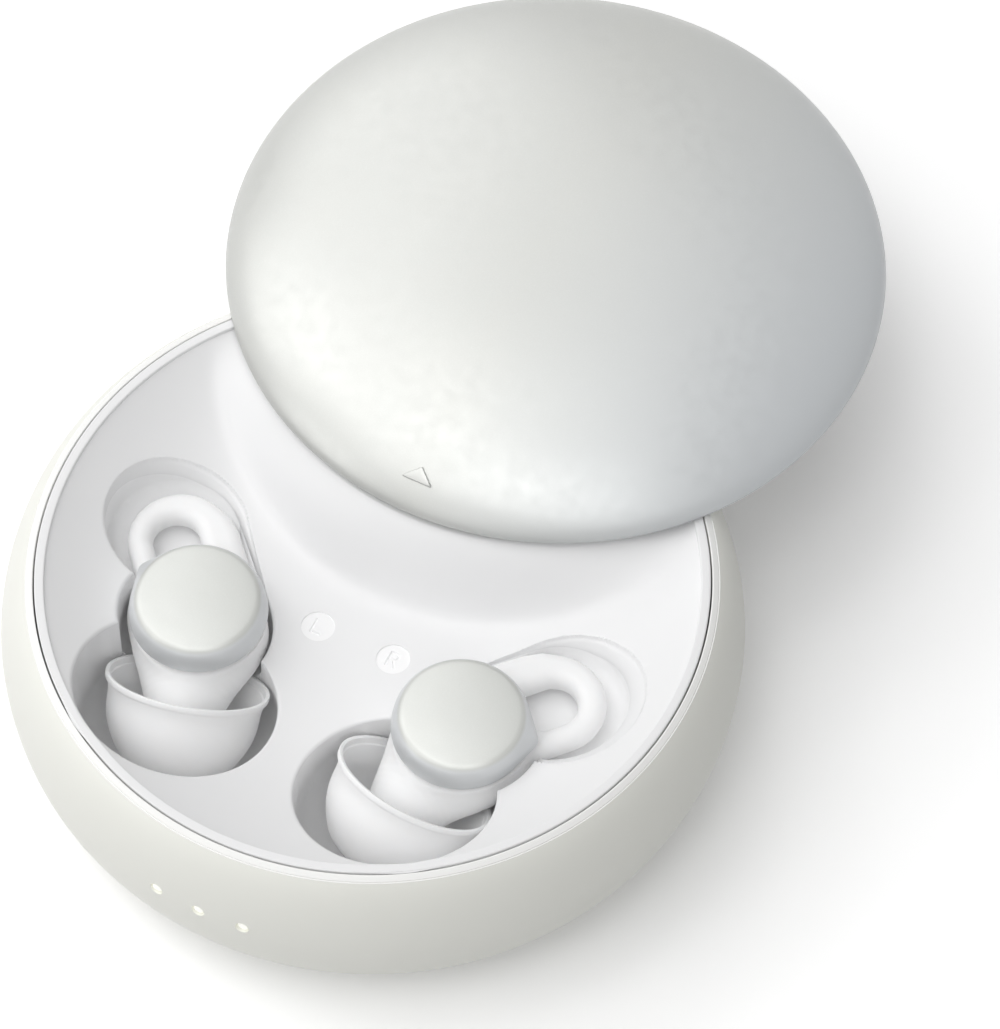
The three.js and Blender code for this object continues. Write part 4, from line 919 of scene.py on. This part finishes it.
def softBlock(name, node, edge, slot):
    # a block with soft edges in the place of a CAD node
    low, high = (np.array(corner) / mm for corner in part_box(node))
    size = (high - low) / 2
    middle = (high + low) / 2
    outline = roundedPath([(-size[0], -size[1], edge * 3), (size[0], -size[1], edge * 3),
                           (size[0], size[1], edge * 3), (-size[0], size[1], edge * 3)], 5, closed=True)
    rings = []
    for inset, height in ((edge, -size[2]), (edge * 0.3, -size[2] + edge * 0.3), (0, -size[2] + edge),
                          (0, size[2] - edge), (edge * 0.3, size[2] - edge * 0.3), (edge, size[2])):
        rings.append([(x * (1 - inset / size[0]), y * (1 - inset / size[1]), height) for x, y in outline])
    count = len(outline)
    points = [point for ring in rings for point in ring]
    faces = [list(reversed(range(count))), list(range(5 * count, 6 * count))]
    for r in range(5):
        for k in range(count):
            after = (k + 1) % count
            faces.append([r * count + k, r * count + after, (r + 1) * count + after, (r + 1) * count + k])
    form = placed((np.array(points), faces), Matrix.Translation(middle.tolist()))
    return paint(newPiece(name, form, "base", [node], slot), slot)


foamEdge = 0.15
foamPiece = softBlock("battery_foam", "battery_pad", foamEdge, "foam")
print("foam made")


# Earbuds, measured from the bottom middle of the right one

bud = dict(x=12.5, y=-8.2, z=10.2, height=9.3, bodyRadius=5.8, sides=128)
cap = dict(height=3.0, rim=5.95, top=5.36, shoulder=6.72, shoulderTurn=13.0, shoulderSoft=0.05,
           shoulderShift=0.012, fadeTop=2.3, fadeLength=1.5, still=0.6, slope=0.35)
nozzle = dict(radius=2.1, bore=1.4, depth=6.9, neckDepth=3.2)
tip = dict(lip=(10.84, -13.42, 14.04), tilt=46.65, yaw=11.7, lipRadius=7.07, waist=6.62, length=8.5, wall=0.5)
sleeve = dict(top=6.15, wall=0.65, foot=0.76, swell=0.24, swellPower=2.2, crowding=1.8, groove=0.45,
              neckRadius=3.1, neckBend=1.72, neckInset=0.15, topRound=0.25, bottomRound=0.2,
              tableCell=0.06, cell=0.16, low=(-7, -10.5, -1.2), high=(11.2, 12.2, 7),
              neckBlend=1.2, bulgeBlend=1.0, wingBlend=0.8, roomBlend=0.3)
tipRoom = dict(radius=6.75, halfWidth=0.49, depth=1.28, halfDepth=1.42)
contacts = dict(shifts=(-1.5, 1.5), y=3, radius=0.8, depth=1.0)  # openings under the body
bulge = dict(turn=12.0, out=3.1, z=3.7, size=(3.55, 4.0, 2.6))
wingLoop = dict(ring=(5.37, 6.56), radius=4.58, hole=(5.6, 6.32), holeRadius=2.05, holeRun=1.6, height=4.2,
                thick=2.54, shoulder=7.1, shoulderAngle=12.0, outerAngle=-45.0, innerAngle=106,
                roundness=1.15, web=((2.45, 10.45), (1.2, 9.5), (-0.45, 7.75)))


def tipTurn():
    tilt, yaw = math.radians(tip["tilt"]), math.radians(tip["yaw"])
    axis = Vector((math.cos(tilt) * math.sin(yaw), math.cos(tilt) * math.cos(yaw), math.sin(tilt)))
    turn = Vector((0, 0, 1)).rotation_difference(axis).to_matrix().to_4x4()
    x, y, z = tip["lip"]
    return Matrix.Translation((x - bud["x"], y - bud["y"], z - bud["z"])) @ turn


def budTurn(side):
    return Matrix.Translation((side * bud["x"], bud["y"], bud["z"])) @ Matrix.Diagonal((side, 1, 1, 1))


def capForm():
    # a satin dome with a wide soft bevel; the lower rim runs out to a squared shoulder
    bottom, top = bud["height"] - cap["height"], bud["height"]
    rim, crown = cap["rim"], cap["top"]
    side = [(rim, 0.32), (rim - 0.03, 0.7), (rim - 0.13, 1.3), (rim - 0.32, 1.85), (crown + 0.03, 2.22),
            (crown - 0.24, 2.47), (crown - 0.65, 2.61), (crown - 1.8, 2.78)]
    side = smoothCurve([*[(r, bottom + z) for r, z in side], (crown - 3.4, top - 0.07), (0, top)], 6)
    lower = roundedPath([(0, bottom, 0), (rim - 0.08, bottom, 0.12), (rim, bottom + 0.32, 0)], 4)
    points, faces = turnedForm(lower[:-1] + side, bud["sides"])
    angle = np.arctan2(points[:, 1], points[:, 0])
    radius = np.hypot(points[:, 0], points[:, 1])
    half = math.acos(rim / cap["shoulder"])
    off = np.abs(angle - math.radians(cap["shoulderTurn"]))
    off = np.sqrt(off ** 2 + cap["shoulderSoft"] ** 2) - cap["shoulderShift"]
    grow = np.where(off < half, 1 / np.cos(np.clip(half - off, 0, half)), 1) - 1
    # the shoulder fades out towards the top and towards the middle
    fade = np.clip((bottom + cap["fadeTop"] - points[:, 2]) / cap["fadeLength"], 0, 1)
    outer = np.clip((radius - rim * cap["still"]) / (rim * cap["slope"]), 0, 1)
    grow = grow * fade * fade * (3 - 2 * fade) * outer
    points[:, :2] *= (1 + grow)[:, None]
    return points, faces


def tipProfile():
    # up the outside, over the lip, down the inside and through the nozzle's bore
    waist, length, wall, lip = tip["waist"], tip["length"], tip["wall"], tip["lipRadius"]
    bore, hole, neck = nozzle["radius"] + 0.15, nozzle["bore"], -nozzle["neckDepth"] - 0.3
    shares = [(0.4, 0.97), (0.72, 0.82), (0.9, 0.6), (0.98, 0.4), (1.0, 0.18)]
    outer = smoothCurve([(hole + 0.35, -length), *[(r * waist, -d * length) for r, d in shares],
                         (lip - 0.22, -0.55)], 6)
    outer += [(lip - 0.17, -0.5), (lip - 0.06, -0.47), (lip - 0.02, -0.4), (lip, -0.08)]
    lipTop = roundedPath([(lip, -0.08, 0), (lip - 0.02, 0.06, 0.1), (lip - 0.34, 0.02, 0.08),
                          (lip - 0.42, -0.5, 0.1), (lip - 0.56, -0.58, 0)], 4)
    shares = [(0.97, 0.42), (0.88, 0.6), (0.68, 0.76)]
    inner = smoothCurve([(lip - 0.56, -0.58), (waist - wall, -0.24 * length),
                         *[(r * waist - wall * 0.95, -d * length + wall * 0.4) for r, d in shares],
                         (nozzle["radius"] + 1.1, -0.8 * length)], 6)
    floor = -nozzle["depth"] - 0.15
    core = roundedPath([inner[-1] + (0,), (bore + 0.75, -0.78 * length, 0.2), (bore + 0.5, neck, 0.2),
                        (bore, neck, 0.1), (bore, floor, 0), (hole, floor, 0), (hole, -length + 0.1, 0.1),
                        (hole + 0.35, -length, 0)], 4)
    return outer[:-1] + lipTop[:-1] + inner[:-1] + core[:-1]


def polygonField(polygon, low, high, step):
    # signed distance to a closed outline on a plane grid, negative inside
    xs, ys = np.arange(low[0], high[0], step), np.arange(low[1], high[1], step)
    gridX, gridY = np.meshgrid(xs, ys, indexing="ij")
    nearest = np.full(gridX.shape, farAway)
    inside = np.zeros(gridX.shape, bool)
    for (ax, ay), (bx, by) in zip(polygon, polygon[1:] + polygon[:1]):
        dx, dy = bx - ax, by - ay
        along = np.clip(((gridX - ax) * dx + (gridY - ay) * dy) / max(dx * dx + dy * dy, 1e-12), 0, 1)
        nearest = np.minimum(nearest, np.hypot(gridX - ax - along * dx, gridY - ay - along * dy))
        if ay != by:
            crosses = (ay > gridY) != (by > gridY)
            inside ^= crosses & (gridX < (bx - ax) * (gridY - ay) / (by - ay) + ax)
    table = np.where(inside, -nearest, nearest)

    def lookUp(x, y):
        i = np.clip((x - xs[0]) / step, 0, len(xs) - 1.001)
        j = np.clip((y - ys[0]) / step, 0, len(ys) - 1.001)
        i0, j0 = i.astype(int), j.astype(int)
        fi, fj = i - i0, j - j0
        return ((table[i0, j0] * (1 - fi) + table[i0 + 1, j0] * fi) * (1 - fj)
                + (table[i0, j0 + 1] * (1 - fi) + table[i0 + 1, j0 + 1] * fi) * fj)

    return lookUp


def softMin(a, b, reach):
    share = np.clip(0.5 + 0.5 * (b - a) / reach, 0, 1)
    return b * (1 - share) + a * share - reach * share * (1 - share)


def softMax(a, b, reach):
    return -softMin(-a, -b, reach)


def ovalEdge(q, size):
    # close to the distance from an ellipsoid, negative inside
    near, far = np.linalg.norm(q / size, axis=-1), np.linalg.norm(q / size ** 2, axis=-1)
    return near * (near - 1) / np.maximum(far, 1e-9)


def bodyField():
    # turned body of the sleeve, with a fine groove under the cap
    top, radius = sleeve["top"], bud["bodyRadius"]
    side = []
    for i in range(25):
        t = (i / 24) ** sleeve["crowding"]  # more points near the foot
        share = sleeve["foot"] + sleeve["swell"] * (1 - (1 - t) ** sleeve["swellPower"]) ** 0.5
        side.append((radius * share, t * top))
    side = [(r, z) for r, z in side if z < top - 0.7]
    side += [(radius, top - 0.68), (radius - 0.04, top - 0.58), (radius - 0.2, top - 0.5),
             (radius - sleeve["groove"], top - 0.44)]
    outline = [(-9, 0), *side, (radius - sleeve["groove"], top + 6), (-9, top + 6)]
    return polygonField(outline, (-0.5, -4), (16, 12), sleeve["tableCell"])


def wingField():
    # the wing loop in plan, without its hole
    ringX, ringY = wingLoop["ring"]
    bodyReach = bud["bodyRadius"] - sleeve["neckInset"]
    lean = math.acos((bodyReach - wingLoop["radius"]) / math.hypot(ringX, ringY))
    innerSide = math.atan2(ringY, ringX) + lean
    start, end = math.radians(wingLoop["outerAngle"]), math.radians(wingLoop["innerAngle"])
    shoulder = math.radians(wingLoop["shoulderAngle"])
    ring = [(ringX + wingLoop["radius"] * math.cos(a), ringY + wingLoop["radius"] * math.sin(a))
            for a in np.linspace(start, end, 60)]
    outline = [*ring, *wingLoop["web"],
               (bodyReach * math.cos(innerSide), bodyReach * math.sin(innerSide)), (0, 0),
               (wingLoop["shoulder"] * math.cos(shoulder), wingLoop["shoulder"] * math.sin(shoulder))]
    return polygonField(outline, (-9, -9), (13, 14), sleeve["tableCell"])


def neckSamples(axis, end):
    # ovals along a curve from the body's middle to the end of the neck
    middle, thin = sleeve["top"] / 2, sleeve["neckInset"]
    start = np.array([0, 0, middle])
    handles = [start, start + (np.array([end[0], end[1], start[2]]) - start) / 3,
               end + axis * sleeve["neckBend"], end]
    a, b, c, d = handles
    samples = []
    for i in range(17):
        t = i / 16
        centre = (1 - t) ** 3 * a + 3 * (1 - t) ** 2 * t * b + 3 * (1 - t) * t ** 2 * c + t ** 3 * d
        along = unit(3 * (1 - t) ** 2 * (b - a) + 6 * (1 - t) * t * (c - b) + 3 * t ** 2 * (d - c))
        across = unit(np.cross(along, (0, 0, 1)))
        ease = t * t * (3 - 2 * t)
        wide = (bud["bodyRadius"] - thin) * (1 - ease) + sleeve["neckRadius"] * ease
        high = (middle - thin) * (1 - ease) + sleeve["neckRadius"] * ease
        size = np.array([wide, high, min(wide, high)])
        samples.append((centre, along, across, np.cross(across, along), size))
    return samples


def sleeveField():
    top, wall = sleeve["top"], sleeve["wall"]
    bodyTable, wingTable = bodyField(), wingField()
    turn = np.array(tipTurn())
    axis, origin = turn[:3, 2], turn[:3, 3]
    end = origin - axis * nozzle["neckDepth"]
    samples = neckSamples(axis, end)

    def neck(p):
        nearest = np.full(p.shape[:-1], farAway)
        for centre, along, across, up, size in samples:
            off = p - centre
            q = np.stack([off @ across, off @ up, off @ along], -1)
            nearest = np.minimum(nearest, ovalEdge(q, size))
        return np.maximum(nearest, -((p - end) @ axis))

    def swelling(p):
        # the body swells towards the outer side
        turned = math.radians(bulge["turn"])
        ux, uy = math.cos(turned), math.sin(turned)
        along = p[..., 0] * ux + p[..., 1] * uy - bulge["out"]
        across = -p[..., 0] * uy + p[..., 1] * ux
        return ovalEdge(np.stack([along, across, p[..., 2] - bulge["z"]], -1), np.array(bulge["size"]))

    def holeDistance(x, y):
        # the hole is drawn out towards the body
        holeX, holeY = wingLoop["hole"]
        length = math.hypot(holeX, holeY)
        dx, dy = -holeX / length, -holeY / length
        along = np.clip((x - holeX) * dx + (y - holeY) * dy, 0, wingLoop["holeRun"])
        return np.hypot(x - holeX - along * dx, y - holeY - along * dy)

    def wing(x, y, z):
        # the loop's outline given its thickness, with round edges
        loop = np.maximum(wingTable(x, y), wingLoop["holeRadius"] - holeDistance(x, y))
        r = wingLoop["roundness"]
        sideways, upward = loop + r, np.abs(z - wingLoop["height"]) - wingLoop["thick"] / 2 + r
        return (np.minimum(np.maximum(sideways, upward), 0)
                + np.hypot(np.maximum(sideways, 0), np.maximum(upward, 0)) - r)

    def field(p):
        x, y, z = p[..., 0], p[..., 1], p[..., 2]
        solid = softMin(bodyTable(np.hypot(x, y), z), neck(p), sleeve["neckBlend"])
        solid = softMin(solid, swelling(p), sleeve["bulgeBlend"])
        whole = softMin(solid, wing(x, y, z), sleeve["wingBlend"])
        whole = softMax(whole, z - top, sleeve["topRound"])
        whole = softMax(whole, -z, sleeve["bottomRound"])
        # room for the rim of the ear tip
        local = p - origin
        depth = local @ axis
        outward = np.linalg.norm(local - depth[..., None] * axis, axis=-1)
        room = np.maximum(np.abs(outward - tipRoom["radius"]) - tipRoom["halfWidth"],
                          np.abs(depth + tipRoom["depth"]) - tipRoom["halfDepth"])
        whole = softMax(whole, -room, sleeve["roomBlend"])
        # the hollow keeps the wall everywhere and opens under the cap
        hollow = softMax(solid, -room, sleeve["roomBlend"]) + wall
        whole = np.maximum(whole, -np.maximum(hollow, wall - z))
        for shift in contacts["shifts"]:
            hole = np.hypot(x - shift, y - contacts["y"]) - contacts["radius"]
            whole = np.maximum(whole, -np.maximum(hole, z - contacts["depth"]))
        return whole

    return field


def netForm(field, low, high, step):
    # smooth mesh of the zero level of a field: one point in each cell that it crosses
    axes = [np.arange(low[i], high[i] + step, step) for i in range(3)]
    grid = np.stack(np.meshgrid(*axes, indexing="ij"), -1)
    values = np.concatenate([field(part) for part in np.array_split(grid, 12)])
    shape = tuple(n - 1 for n in values.shape)
    total, weight = np.zeros(shape + (3,)), np.zeros(shape)
    corners = [(i, j, k) for i in (0, 1) for j in (0, 1) for k in (0, 1)]

    def part(array, corner):
        return array[tuple(slice(c, c + n) for c, n in zip(corner, shape))]

    for a in corners:
        for axis in range(3):
            if a[axis]:
                continue
            b = tuple(c + (i == axis) for i, c in enumerate(a))
            va, vb = part(values, a), part(values, b)
            mask = (va < 0) != (vb < 0)
            share = np.where(mask, va / np.where(mask, va - vb, 1), 0)
            offset = np.array(a, float)[None, None, None] + share[..., None] * np.eye(3)[axis]
            total += np.where(mask[..., None], offset, 0)
            weight += mask
    active = weight > 0
    index = np.full(shape, -1)
    index[active] = np.arange(active.sum())
    cells = np.argwhere(active)
    points = np.array(low) + step * (cells + total[active] / weight[active][:, None])
    faces = []
    for axis in range(3):
        u, v = [i for i in range(3) if i != axis]
        stop = list(values.shape)
        stop[axis] -= 1
        va = values[tuple(slice(0, n) for n in stop)]
        vb = values[tuple(slice(1, n + 1) if i == axis else slice(0, n) for i, n in enumerate(stop))]
        crossing = np.argwhere((va < 0) != (vb < 0))
        crossing = crossing[(crossing[:, u] > 0) & (crossing[:, v] > 0) & (crossing[:, u] < shape[u])
                            & (crossing[:, v] < shape[v])]
        falling = va[tuple(crossing.T)] < 0
        quad = []
        for du, dv in ((-1, -1), (0, -1), (0, 0), (-1, 0)):
            cell = crossing.copy()
            cell[:, u] += du
            cell[:, v] += dv
            quad.append(index[tuple(cell.T)])
        quad = np.stack(quad, 1)
        flip = falling if axis != 1 else ~falling
        quad[~flip] = quad[~flip][:, ::-1]
        faces.append(quad)
    for _ in range(2):
        # slide the points onto the surface
        value = field(points)
        slope = np.stack([(field(points + 0.02 * e) - field(points - 0.02 * e)) / 0.04
                          for e in np.eye(3)], -1)
        points = points - np.clip(value / np.maximum((slope ** 2).sum(-1), 0.2), -0.08, 0.08)[:, None] * slope
    return points, np.vstack(faces).tolist()


def makeBuds():
    sleeveForm = netForm(sleeveField(), sleeve["low"], sleeve["high"], sleeve["cell"])
    print("sleeve form made,", len(sleeveForm[1]), "faces")
    earTip = placed(turnedForm(tipProfile(), bud["sides"], closed=True), tipTurn())
    kinds = (("cap", capForm(), "pearl_paint", "cap_paint"), ("sleeve", sleeveForm, "silicone", "silicone"),
             ("ear_tip", earTip, "silicone", "silicone"))
    for word, side in (("left", -1), ("right", 1)):
        for kind, form, slot, finish in kinds:
            node = f"{word}_{kind}"
            paint(newPiece(f"{node}_form", placed(form, budTurn(side)), f"{word}_bud", [node], slot), finish)


makeBuds()
print("earbuds made")


# Floor, light and camera

studio = dict(floorSize=0.9, floorGap=0.00005, floorColour=0.62, floorGain=1.3, ambient=0.15, reach=0.8,
              lampSize=0.5, target=(0, 0.015, 0.01),
              lamps=((40, 180, 0.97), (65, 300, 0.93), (65, 180, 0.78), (65, 240, 0.75), (40, 135, 0.63),
                     (18, 225, 0.62), (40, 315, 0.51), (90, 0, 0.44), (40, 225, 0.36), (65, 120, 0.3),
                     (40, 270, 0.3), (18, 135, 0.29), (18, 270, 0.17), (18, 180, 0.17)))
# angles in degrees; the focal length is in pixels of a picture of the given height, the film in mm
view = dict(place=(0.09652, -0.18151, 0.36258), turn=25.04, height=58.30, roll=1.50, focal=4715,
            pictureHeight=1029, film=36)


def seenDirectly(tree):
    # 1 for what the camera sees, also in a reflection or through glass
    path = tree.nodes.new("ShaderNodeLightPath")
    seen = path.outputs["Is Camera Ray"]
    for other in ("Is Glossy Ray", "Is Transmission Ray"):
        larger = tree.nodes.new("ShaderNodeMath")
        larger.operation = "MAXIMUM"
        tree.links.new(seen, larger.inputs[0])
        tree.links.new(path.outputs[other], larger.inputs[1])
        seen = larger.outputs["Value"]
    return seen


def makeFloor():
    half = studio["floorSize"] / 2
    corners = [(-half, -half, 0), (half, -half, 0), (half, half, 0), (-half, half, 0)]
    mesh = bpy.data.meshes.new("floor")
    mesh.from_pydata(corners, [], [[0, 1, 2, 3]])
    floor = addObject("floor", mesh)
    floor.location.z = -studio["floorGap"]
    material = bpy.data.materials.new("floor_white")
    material.use_nodes = True
    tree = material.node_tree
    shader = tree.nodes["Principled BSDF"]
    shader.inputs["Roughness"].default_value = 1.0
    shader.inputs["Specular IOR Level"].default_value = 0.0
    colour = mixColours(tree, (studio["floorColour"],) * 3, (studio["floorGain"],) * 3, seenDirectly(tree))
    tree.links.new(colour, shader.inputs["Base Color"])
    mesh.materials.append(material)


def makeWorld():
    world = bpy.data.worlds.new("studio")
    bpy.context.scene.world = world
    world.use_nodes = True
    tree = world.node_tree
    back = tree.nodes["Background"]
    strength = tree.nodes.new("ShaderNodeMapRange")
    strength.inputs["To Min"].default_value = studio["ambient"]
    strength.inputs["To Max"].default_value = 1.0
    tree.links.new(seenDirectly(tree), strength.inputs["Value"])
    tree.links.new(strength.outputs["Result"], back.inputs["Strength"])
    back.inputs["Color"].default_value = (1, 1, 1, 1)


def makeLamps():
    # soft round lamps on a dome: height and turn in degrees, and power in watts
    target = Vector(studio["target"])
    for i, (height, turn, power) in enumerate(studio["lamps"]):
        light = bpy.data.lights.new(f"lamp_{i + 1}", "AREA")
        light.shape = "DISK"
        light.size = studio["lampSize"]
        light.energy = power
        lamp = addObject(light.name, light)
        up, around = math.radians(height), math.radians(turn)
        out = Vector((math.cos(up) * math.cos(around), math.cos(up) * math.sin(around), math.sin(up)))
        lamp.location = target + studio["reach"] * out
        lamp.rotation_euler = (-out).to_track_quat("-Z", "Y").to_euler()


def makeCamera():
    around, height, roll = (math.radians(view[key]) for key in ("turn", "height", "roll"))
    right = Vector((math.cos(around), math.sin(around), 0))
    back = Vector((math.sin(around) * math.cos(height), -math.cos(around) * math.cos(height),
                   math.sin(height)))
    up = back.cross(right)
    # the roll turns right and down in the picture
    c, s = math.cos(roll), math.sin(roll)
    rolledRight = c * right + s * up
    rolledUp = c * up - s * right
    turn = Matrix((rolledRight, rolledUp, back)).transposed().to_4x4()
    data = bpy.data.cameras.new("camera")
    data.lens = view["focal"] * view["film"] / view["pictureHeight"]
    data.sensor_width = view["film"]
    data.clip_end = 10
    camera = addObject("camera", data)
    camera.matrix_world = Matrix.Translation(view["place"]) @ turn
    bpy.context.scene.camera = camera


makeFloor()
makeWorld()
makeLamps()
makeCamera()
bpy.context.scene.view_settings.view_transform = "Standard"

print("scene made")
